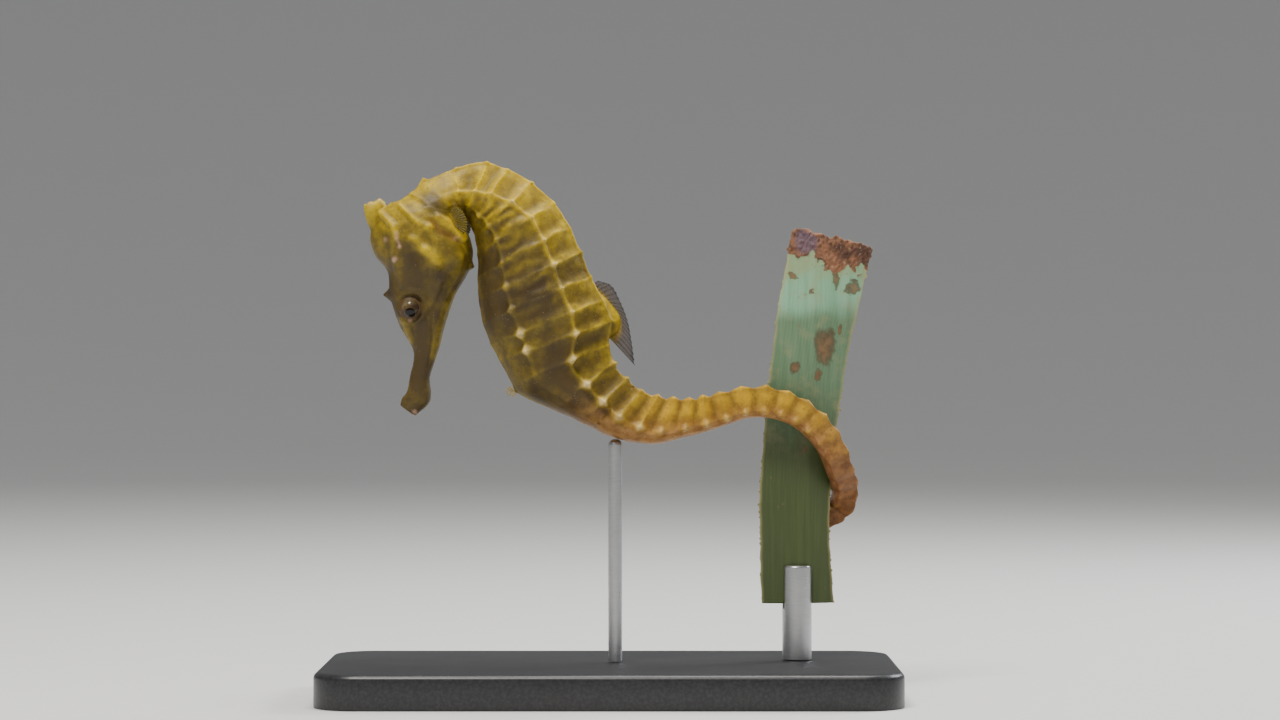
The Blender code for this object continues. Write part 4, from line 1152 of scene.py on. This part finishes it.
def fan(name, base, margin, rays, billow, film=0.045, ray=0.075, rows=34, per_ray=7):
    """Closed film between a base line and a margin line, with rays from one to the other."""
    count = rays * per_ray
    t = np.linspace(0, 1, count + 1)
    v = np.linspace(0, 1, rows)[:, None]
    ray_here = np.abs(np.cos(math.pi * rays * t)) ** 5

    # the margin is notched between the rays
    low, high = along_line(base, t), along_line(margin, t)
    reach = v * (1 - MARGIN_NOTCH * (1 - ray_here) * v**4)
    flat = low[None] + (high - low)[None] * reach[..., None]
    normal = np.cross(np.gradient(flat, axis=1), np.gradient(flat, axis=0))
    normal /= np.linalg.norm(normal, axis=2)[..., None]

    # the film billows as a whole and a little between its rays
    bent = np.sin(math.pi * t)[None] * np.sin(0.5 * math.pi * v) * billow
    bent = bent + RAY_BILLOW * np.sin(2 * math.pi * rays * t)[None] * v

    # rays are jointed, thickest at the base, and the film thins out at its two ends
    segments = 0.85 + 0.15 * np.cos(2 * math.pi * v * RAY_JOINTS)
    thick = (film + (ray - film + RAY_ROOT * (1 - v)) * ray_here[None] * segments) * (1 - 0.55 * v**3)
    thick = thick * np.minimum(1, np.minimum(t, 1 - t) * 12 + 0.25)[None]

    front, centre, back = (flat + normal * (bent + side * thick)[..., None] for side in (1, 0, -1))
    faces = np.concatenate([front, back[:, ::-1]], axis=1)
    folded = np.concatenate([centre, centre[:, ::-1]], axis=1)
    closed = np.concatenate([folded[:1], faces, folded[-1:]])
    ray_mask = np.concatenate([ray_here, ray_here[::-1]])[None] * np.ones((rows, 1))
    reach_mask = np.ones((1, 2 * (count + 1))) * v
    thing = wound_mesh(name, closed, {"ray": ray_mask, "reach": reach_mask}, before=1, after=1)
    close_thin(thing)
    return thing


FIN_FLECK, FIN_ROOT = (0.12, 0.085, 0.050), (0.36, 0.24, 0.02)


def fin_finish(name, film, ray, margin, clear):
    """Film, rays and margin in their own colours; clear is how much the bare film hides."""
    g = Graph(name, {"Roughness": 0.55, "Specular IOR Level": 0.22})
    ray_share, reach = g.attribute("ray"), g.attribute("reach")
    mottle = g.noise(1400.0, 4.0, 0.6)
    colour = g.mix(ray_share * 0.6, film, ray)
    colour = g.mix(mottle.between(0.50, 0.66) * 0.5, colour, FIN_FLECK)
    colour = g.mix(reach.between(0.72, 1.0) * 0.85, colour, margin)
    colour = g.mix(reach.between(0.35, 0.0) * 0.7, colour, FIN_ROOT)
    g.feed("Base Color", colour)
    g.feed("Alpha", clear + ray_share * 0.30 + reach.between(0.35, 0.0) * 0.35 + mottle * 0.08)
    g.bump(g.noise(2400.0), 0.04 * MM, 0.5)
    return g.material


# %% Fin of the back
DORSAL_FROM, DORSAL_TO, DORSAL_SUNK = 8.25, 10.75, 0.30
DORSAL_MARGIN = ((-1.35, 0, 47.9), (0.1, 0, 47.4), (1.15, 0, 45.6), (2.0, 0, 43.4), (2.5, 0, 40.9),
                 (2.9, 0, 38.1))

dorsal_rings = np.linspace(DORSAL_FROM, DORSAL_TO, 9)
back_middle, back_up, _, back_deep, _ = stations(dorsal_rings)
back_line = back_middle + back_up * (back_deep + fin_hump(dorsal_rings) - DORSAL_SUNK)[:, None]
dorsal = fan("dorsal_fan", back_line, DORSAL_MARGIN, rays=17, billow=0.25)
dorsal.data.materials.append(fin_finish(
    "dorsal_film", film=(0.105, 0.086, 0.078), ray=(0.050, 0.040, 0.030), margin=(0.022, 0.020, 0.018),
    clear=0.50))
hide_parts("dorsal_fin")

# %% Fins behind the cheeks
PECTORAL_ROOT = ((-18.35, 3.25, 55.35), (-18.0, 3.4, 54.7), (-17.65, 3.35, 54.0))
PECTORAL_EDGE = ((-18.0, 3.3, 56.2), (-17.3, 3.6, 56.2), (-16.6, 3.9, 55.6),
                 (-16.2, 4.0, 54.7), (-16.2, 3.9, 53.8), (-16.6, 3.7, 53.0))

for side, sign in (("left", -1), ("right", 1)):
    root, edge = ([(px, sign * py, pz) for px, py, pz in line] for line in (PECTORAL_ROOT, PECTORAL_EDGE))
    fan_piece = fan(f"pectoral_fan_{side}", root, edge, rays=14, billow=0.12, film=0.03, ray=0.036, rows=24,
                    per_ray=6)
    fan_piece.data.materials.append(fin_finish(
        f"pectoral_film_{side}", film=(0.120, 0.088, 0.006), ray=(0.135, 0.099, 0.007),
        margin=(0.135, 0.098, 0.008), clear=0.62))
    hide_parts(f"pectoral_fin_{side}")

# %% Fin under the belly
ANAL_ROOT = ((-11.55, 0, 35.75), (-11.1, 0, 35.35), (-10.7, 0, 35.05))
ANAL_EDGE = ((-12.1, 0, 35.25), (-11.75, 0, 34.75), (-11.3, 0, 34.5), (-10.9, 0, 34.55))

low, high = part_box("anal_fin")
print("anal fin of the solids in mm", [round(v / MM, 2) for v in (*low, *high)])
anal = fan("anal_fan", ANAL_ROOT, ANAL_EDGE, rays=4, billow=0.05, film=0.035, ray=0.055, rows=16)
anal.data.materials.append(fin_finish(
    "anal_film", film=(0.30, 0.24, 0.12), ray=(0.42, 0.32, 0.12), margin=(0.34, 0.30, 0.20), clear=0.35))
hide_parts("anal_fin")
for name in ("dorsal_fan", "pectoral_fan_left", "pectoral_fan_right", "anal_fan"):
    piece = bpy.data.objects[name]
    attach(piece, "root")
    print(name, "faces", len(piece.data.polygons))

# %% [markdown]
# ## The leaf
# The seahorse holds a strap of seagrass that has been bitten off at the top. It is wound as a flat
# closed section too: fine veins run its whole length, its edges are thin and a little ragged, and
# a crust of small growths thickens the cut end. The green fades from mint at the top to dark olive;
# the darkening towards the foot is painted shade, and the step up to mint is partly a painted reflection.

# %% Strap of seagrass
LEAF_TOP_LEFT, LEAF_TOP_RIGHT = 54.2, 52.0
LEAF_ROWS, LEAF_COUNT = 300, 120
VEINS = 23
CRUSTED_DOWN = 3.2
MID_THICK, EDGE_THICK = 0.27, 0.13
CAP = 0.12


def fractal(points, scale, octaves=3):
    """Noise with finer and finer parts at every point of a grid."""
    values = [noise.fractal(Vector(p) * scale, 1.0, 2.0, octaves) for p in points.reshape(-1, 3)]
    return np.array(values).reshape(points.shape[:-1])


def both_faces(front, back):
    """Rows that run across the front face and back across the other."""
    return np.concatenate([front, back[:, ::-1]], axis=1)


def strap_edges(across, z):
    """How far out the two edges stand: a slow wave and small tufts."""
    wave = 0.05 * np.sin(z * 0.6) + 0.03 * np.sin(z * 2.3 + 2)
    tufts = np.clip(fractal(np.stack([z * 0, z * 0 + np.sign(across) * 5, z], axis=2), 2.2) - 0.12, 0, 1)
    return across * wave + np.sign(across) * 0.45 * tufts * ease(0.93, 1.0, np.abs(across))


def strap_grid():
    """Closed rows of the leaf from its foot to its torn top, and the masks that its finish reads."""
    spread = np.linspace(-1, 1, LEAF_COUNT + 1)
    across = 0.35 * np.sin(spread * math.pi / 2) + 0.65 * spread
    edge = np.abs(across)
    torn = fractal(np.stack([across * LEAF_WIDTH / 2, across * 0, across * 0], axis=1), 1.3, 4)
    ragged = 0.08 * np.sin(across * 7) + 0.32 * torn - 0.4 * ease(0.88, 1.0, edge)
    top = LEAF_TOP_LEFT + (LEAF_TOP_RIGHT - LEAF_TOP_LEFT) * (across + 1) / 2
    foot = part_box("perch_leaf")[0].z / MM
    z = foot + (top + ragged - 0.15 - foot)[None] * np.linspace(0, 1, LEAF_ROWS)[:, None]
    across, edge = np.broadcast_to(across, z.shape), np.broadcast_to(edge, z.shape)
    middle_x, width = leaf_middle(z)
    offset = across * width / 2 + strap_edges(across, z)
    depth = leaf_depth(offset, across) + 0.12 * np.sin(z * 0.21) * across**2
    centre = np.stack([middle_x + offset, depth, z], axis=2)

    vein = np.abs(np.cos(across * VEINS * math.pi / 2)) ** 6 * (1 - edge**6)
    crust_line = CRUSTED_DOWN + 0.5 * np.sin(across * 4 + 0.6) + 1.5 * fractal(centre, 0.9)
    crust = ease(0.5, -0.5, (top[None] - z) - crust_line)
    thick = EDGE_THICK + MID_THICK * (1 - edge**2.5) + 0.006 * vein
    front_lumps = np.clip(fractal(centre, 2.6) + 0.15, 0, 1) * crust
    back_lumps = np.clip(fractal(centre + 7, 2.6) + 0.1, 0, 1) * crust
    outward = np.array((0, 1.0, 0))
    front_face = centre - outward * (thick + 0.30 * front_lumps)[..., None]
    back_face = centre + outward * (thick + 0.26 * back_lumps)[..., None]
    folded = both_faces(centre, centre)
    cap = folded[-1:] + np.array((0, 0, CAP))
    rows = np.concatenate([folded[:1], both_faces(front_face, back_face), cap])
    return rows, {"across": both_faces(across, across) * 0.5 + 0.5, "vein": both_faces(vein, vein),
                  "crust": both_faces(crust, crust)}


leaf = wound_mesh("seagrass_strap", *strap_grid(), before=1, after=1)
close_thin(leaf)
print(leaf.name, "faces", len(leaf.data.polygons))

# %% Finish of the leaf
MINT = ((0.165, 0.36, 0.215), (0.235, 0.46, 0.295))
GREY_GREEN = ((0.088, 0.165, 0.086), (0.122, 0.212, 0.116))
SHADED_LEAF_OLIVE = ((0.042, 0.062, 0.014), (0.060, 0.085, 0.022))
VEIN_GREEN, ALGAL_FILM = (0.40, 0.52, 0.28), (0.30, 0.27, 0.14)
BROWNED_TOP, DRY_EDGE, SPECK_BROWN = (0.30, 0.27, 0.10), (0.40, 0.33, 0.14), (0.20, 0.12, 0.06)
ROT = ((0.075, 0.034, 0.013), (0.21, 0.092, 0.034))
ROT_EDGE = (0.075, 0.066, 0.030)
CRUST = ((0.085, 0.036, 0.020), (0.27, 0.120, 0.058))
CRUST_LIGHT = (0.45, 0.33, 0.22)
VIOLET = ((0.085, 0.050, 0.075), (0.175, 0.120, 0.165))
# Middle in x and z, half width and half height of the brown spots; then the violet crust's own.
SPOTS = ((24.8, 40.3, 1.25, 2.0), (26.5, 42.4, 0.30, 0.65), (21.2, 37.8, 0.45, 0.80),
         (24.0, 37.2, 0.32, 0.65), (28.0, 47.2, 0.75, 0.80), (25.1, 49.6, 0.36, 0.40),
         (21.2, 48.6, 0.35, 0.50), (23.6, 46.6, 0.45, 0.28), (26.1, 48.3, 0.40, 1.10),
         (22.6, 28.5, 0.35, 0.45))
VIOLET_SPOT = (22.7, 52.4, 1.5, 1.5)


def leaf_finish():
    g = Graph("seagrass_green", {
        "Subsurface Weight": 0.08, "Subsurface Radius": (0.3, 0.6, 0.2), "Subsurface Scale": 0.8 * MM})
    x, height = g.place_in_mm("XZ")
    cloud, mottle, fine = g.noise(120.0, 4.0), g.noise(520.0, 5.0, 0.62), g.noise(2600.0, 4.0, 0.65)
    torn = g.noise(950.0, 5.0, 0.65)
    streak = g.noise(1.0, 4.0, 0.6, vector=g.stretched((1500.0, 200.0, 60.0)))
    vein, crust = g.attribute("vein"), g.attribute("crust")

    def from_middle(spot, across_noise, up_noise, wander):
        """Squared distance from a spot's middle, 1 at its edge, with a torn outline."""
        spot_x, spot_z, wide, tall = spot
        aside = (x - spot_x + (across_noise - 0.5) * wander) / wide
        above = (height - spot_z + (up_noise - 0.5) * wander) / tall
        return aside * aside + above * above

    # green along the fibres, from olive at the foot to mint at the top: the darkening downwards is painted
    # shade, and the step to mint is partly a painted reflection
    ragged = height + (cloud - 0.5) * 5.0
    greens = (MINT, GREY_GREEN, SHADED_LEAF_OLIVE)
    mint, grey_green, olive = (g.mix(streak.between(0.30, 0.70), *pair) for pair in greens)
    colour = g.mix(ragged.between(27.0, 37.0), olive, grey_green)
    colour = g.mix(ragged.between(43.6, 46.2), colour, mint)
    colour = g.mix(vein * height.between(20.0, 50.0) * 0.08, colour, VEIN_GREEN)

    # a film of algae, a browned top and dry edges
    film = mottle.between(0.46, 0.66) * height.between(24.0, 34.0)
    colour = g.mix(film * 0.30, colour, ALGAL_FILM)
    colour = g.mix((height + (mottle - 0.5) * 5.0).between(46.5, 50.5) * 0.5, colour, BROWNED_TOP)
    edge = abs(g.attribute("across") - 0.5).between(0.455, 0.50)
    colour = g.mix(edge * (0.3 + mottle * 0.5), colour, DRY_EDGE)

    # brown spots and specks, and the crust with a violet patch
    for spot in SPOTS:
        away = from_middle(spot, mottle, torn, 2.4)
        inner = g.mix(torn.between(0.35, 0.65), *ROT)
        blotch = g.mix(away.between(0.95, 0.20) * 0.9, ROT_EDGE, inner)
        colour = g.mix(away.between(1.35, 0.70) * 0.85, colour, blotch)
    specks = g.cells(760.0).between(0.17, 0.09) * cloud.between(0.48, 0.62)
    colour = g.mix(specks * 0.6, colour, SPECK_BROWN)
    crusty = g.mix(mottle.between(0.38, 0.62), *CRUST)
    violet = from_middle(VIOLET_SPOT, torn, mottle, 2.0).between(1.2, 0.3)
    crusty = g.mix(violet * 0.8, crusty, g.mix(torn, *VIOLET))
    crusty = g.mix(fine.between(0.60, 0.70) * 0.7, crusty, CRUST_LIGHT)
    colour = g.mix((crust + (torn - 0.5) * 1.1).between(0.30, 0.62), colour, crusty)
    g.feed("Base Color", colour)
    g.feed("Roughness", 0.42 + mottle * 0.2 + crust * 0.25)
    g.bump(vein * 0.05 + streak * 0.20 + fine * (0.15 + crust) + mottle * 0.2, 0.12 * MM, 0.8)
    return g.material


leaf.data.materials.append(leaf_finish())
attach(leaf, "root")
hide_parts("perch_leaf")
print(leaf.name, "spots", len(SPOTS))

# %% [markdown]
# ## The stand
# A museum holds such a model clear of its base: a thin polished rod under the pouch, and a thicker one
# whose slot grips the leaf. They are turned again here with rounder walls than the solids have.

# %% Base plate and rods
BASE_CORNER, BASE_BEVEL, BASE_FOOT_BEVEL = 5.0, 0.7, 0.15
BODY_ROD_DOME, LEAF_ROD_BEVEL = 0.72, 0.25
SLOT_SIZE = (6.8, 1.22, 10.0)
HAIR = 0.001 * MM


def pick_edges(thing, wanted):
    """In edit mode, select only the edges that pass the test."""
    bpy.ops.mesh.select_mode(type="EDGE")
    bpy.ops.mesh.select_all(action="DESELECT")
    mesh = bmesh.from_edit_mesh(thing.data)
    for edge in mesh.edges:
        edge.select_set(wanted(*(vert.co for vert in edge.verts)))
    bmesh.update_edit_mesh(thing.data)


def rounded_plate(node, name):
    """Plate of the node's own size with round corners and bevelled edges."""
    low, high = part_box(node)
    plate = added(name, bpy.ops.mesh.primitive_cube_add, size=1.0, location=(low + high) / 2)
    plate.scale = high - low
    settle(plate)
    bpy.ops.object.mode_set(mode="EDIT")
    pick_edges(plate, lambda a, b: abs(a.z - b.z) > 0.1 * MM)
    bpy.ops.mesh.bevel(offset=BASE_CORNER * MM, segments=14)
    pick_edges(plate, lambda a, b: min(a.z, b.z) > high.z - HAIR)
    bpy.ops.mesh.bevel(offset=BASE_BEVEL * MM, segments=5)
    pick_edges(plate, lambda a, b: max(a.z, b.z) < low.z + HAIR)
    bpy.ops.mesh.bevel(offset=BASE_FOOT_BEVEL * MM, segments=2)
    bpy.ops.object.mode_set(mode="OBJECT")
    bpy.ops.object.shade_smooth_by_angle(angle=math.radians(35))
    return plate


def turned_rod(node, name, dome):
    """Rod of the node's own width and height, with a softened or domed top."""
    low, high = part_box(node)
    radius, height = (high.x - low.x) / 2, high.z - low.z
    rod = added(name, bpy.ops.mesh.primitive_cylinder_add, vertices=64, radius=radius, depth=height,
                location=(low + high) / 2)
    settle(rod)
    bpy.ops.object.mode_set(mode="EDIT")
    pick_edges(rod, lambda a, b: min(a.z, b.z) > high.z - HAIR)
    bpy.ops.mesh.bevel(offset=dome * MM, segments=8)
    bpy.ops.object.mode_set(mode="OBJECT")
    return rod


def cut_slot(rod, node):
    """Cut the slot that grips the leaf, as the solid has it."""
    low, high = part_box(node)
    cutter = added("slot_cutter", bpy.ops.mesh.primitive_cube_add, size=1.0,
                   location=((low.x + high.x) / 2, LEAF_Y * MM, high.z))
    cutter.scale = [side * MM for side in SLOT_SIZE]
    cutter.rotation_euler = (0, 0, math.atan(LEAF_YAW))
    cut = rod.modifiers.new("slot", "BOOLEAN")
    cut.operation = "DIFFERENCE"
    cut.solver = "EXACT"
    cut.object = cutter
    select_only(rod)
    bpy.ops.object.modifier_apply(modifier="slot")
    bpy.data.objects.remove(cutter)


plate = rounded_plate("stand_base", "base_plate")
body_rod = turned_rod("stand_rod_body", "body_rod", BODY_ROD_DOME)
leaf_rod = turned_rod("stand_rod_perch", "leaf_rod", LEAF_ROD_BEVEL)
cut_slot(leaf_rod, "stand_rod_perch")
for rod in (body_rod, leaf_rod):
    select_only(rod)
    bpy.ops.object.shade_smooth_by_angle(angle=math.radians(40))


# %% Finishes of the stand
def base_finish():
    """Black satin lacquer."""
    g = Graph("black_satin", {"Roughness": 0.32})
    fine, cloud = g.noise(2600.0, 4.0, 0.7), g.noise(90.0, 3.0)
    g.feed("Base Color", g.mix(fine.between(0.35, 0.7), (0.010, 0.010, 0.012), (0.026, 0.026, 0.029)))
    g.feed("Roughness", 0.27 + cloud * 0.12 + fine * 0.08)
    g.bump(fine, 0.03 * MM, 0.5)
    return g.material


def rod_finish():
    """Steel with fine lines round it from turning."""
    g = Graph("brushed_steel", {"Roughness": 0.28, "Metallic": 1.0})
    lines = g.noise(1.0, 3.0, 0.6, vector=g.stretched((900.0, 900.0, 26000.0)))
    cloud = g.noise(300.0, 3.0)
    g.feed("Base Color", g.mix(lines.between(0.3, 0.7), (0.50, 0.50, 0.51), (0.60, 0.60, 0.61)))
    g.feed("Roughness", 0.20 + lines * 0.18 + cloud * 0.08)
    g.bump(lines, 0.02 * MM, 0.5)
    return g.material


LACQUER, STEEL = base_finish(), rod_finish()
for piece, node, slot, finish in ((plate, "stand_base", "base", LACQUER),
                                  (body_rod, "stand_rod_body", "rod", STEEL),
                                  (leaf_rod, "stand_rod_perch", "rod", STEEL)):
    piece.data.materials.clear()
    piece.data.materials.append(finish)
    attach(piece, "root")
    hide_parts(node)
    print(piece.name, "faces", len(piece.data.polygons))

# %% [markdown]
# ## Floor, light and camera
# The floor is one pale sheet that curves up all round, so no edge or horizon shows from any side.
# A large lamp above and in front stands for a soft studio light, and two weaker ones lift the far side.

# %% Floor
FLOOR_FLAT, FLOOR_RISE = 0.75, 0.9
FLOOR_STEPS, FLOOR_STEP_ANGLE = 12, 7.0


def studio_floor():
    """Disc whose rim is drawn out and up step by step, along a quarter of a circle."""
    sheet = added("floor", bpy.ops.mesh.primitive_circle_add, vertices=96, radius=FLOOR_FLAT,
                  fill_type="NGON")
    bpy.ops.object.mode_set(mode="EDIT")
    bpy.ops.mesh.select_all(action="DESELECT")
    mesh = bmesh.from_edit_mesh(sheet.data)
    mesh.select_mode = {"EDGE"}
    for edge in mesh.edges:
        edge.select = edge.is_boundary
    bmesh.update_edit_mesh(sheet.data)
    radius, height = FLOOR_FLAT, 0.0
    for step in range(1, FLOOR_STEPS + 1):
        turn = math.radians(FLOOR_STEP_ANGLE * step)
        new_radius = FLOOR_FLAT + FLOOR_RISE * math.sin(turn)
        new_height = FLOOR_RISE * (1 - math.cos(turn))
        bpy.ops.mesh.extrude_edges_move(TRANSFORM_OT_translate={"value": (0, 0, new_height - height)})
        grow = new_radius / radius
        bpy.ops.transform.resize(value=(grow, grow, 1.0), center_override=(0, 0, 0))
        radius, height = new_radius, new_height
    bpy.ops.mesh.select_all(action="SELECT")
    bpy.ops.mesh.normals_make_consistent(inside=True)
    bpy.ops.object.mode_set(mode="OBJECT")
    sheet.data.shade_smooth()
    return sheet


def floor_finish():
    g = Graph("floor_paper", {"Roughness": 0.75})
    grain = g.noise(900.0, 3.0)
    g.feed("Base Color", g.mix(grain, (0.66, 0.66, 0.65), (0.70, 0.70, 0.69)))
    return g.material


floor = studio_floor()
floor.data.materials.append(floor_finish())
print("floor", round(2 * (FLOOR_FLAT + FLOOR_RISE), 1), "m wide")

# %% Light
SKY_COLOUR, SKY_STRENGTH = (0.92, 0.94, 0.97, 1), 0.31
LIT_POINT = Vector((0, 0, 0.045))
# Name, place, width, power and colour.
LAMPS = (
    ("key", (-0.10, -0.24, 0.42), 0.16, 2.4, (1.0, 0.96, 0.90)),
    ("top", (0.06, 0.06, 0.50), 0.24, 2.0, (1.0, 0.98, 0.94)),
    ("rim", (0.28, 0.20, 0.22), 0.12, 1.0, (0.92, 0.96, 1.0)),
)

world = bpy.data.worlds.new("studio")
bpy.context.scene.world = world
world.use_nodes = True
sky = world.node_tree.nodes["Background"]
sky.inputs["Color"].default_value = SKY_COLOUR
sky.inputs["Strength"].default_value = SKY_STRENGTH
for name, place, width, power, colour in LAMPS:
    data = bpy.data.lights.new(name, "AREA")
    data.shape = "DISK"
    data.size = width
    data.energy = power
    data.color = colour
    lamp = bpy.data.objects.new(name, data)
    bpy.context.scene.collection.objects.link(lamp)
    lamp.location = place
    lamp.rotation_euler = (LIT_POINT - Vector(place)).to_track_quat("-Z", "Y").to_euler()
    print(name, power, "W")

# %% Camera
SHOWN_WIDTH = 147.2
VIEW_MIDDLE = (3.45, 38.76)
LENS, SENSOR = 100.0, 36.0
camera_data = bpy.data.cameras.new("camera")
camera_data.lens = LENS
camera_data.sensor_width = SENSOR
camera_data.clip_start = 0.01
camera = bpy.data.objects.new("camera", camera_data)
bpy.context.scene.collection.objects.link(camera)
camera.location = (VIEW_MIDDLE[0] * MM, -SHOWN_WIDTH * LENS / SENSOR * MM, VIEW_MIDDLE[1] * MM)
camera.rotation_euler = (math.pi / 2, 0, 0)
bpy.context.scene.camera = camera
print("camera", round(-camera.location.y, 3), "m in front")
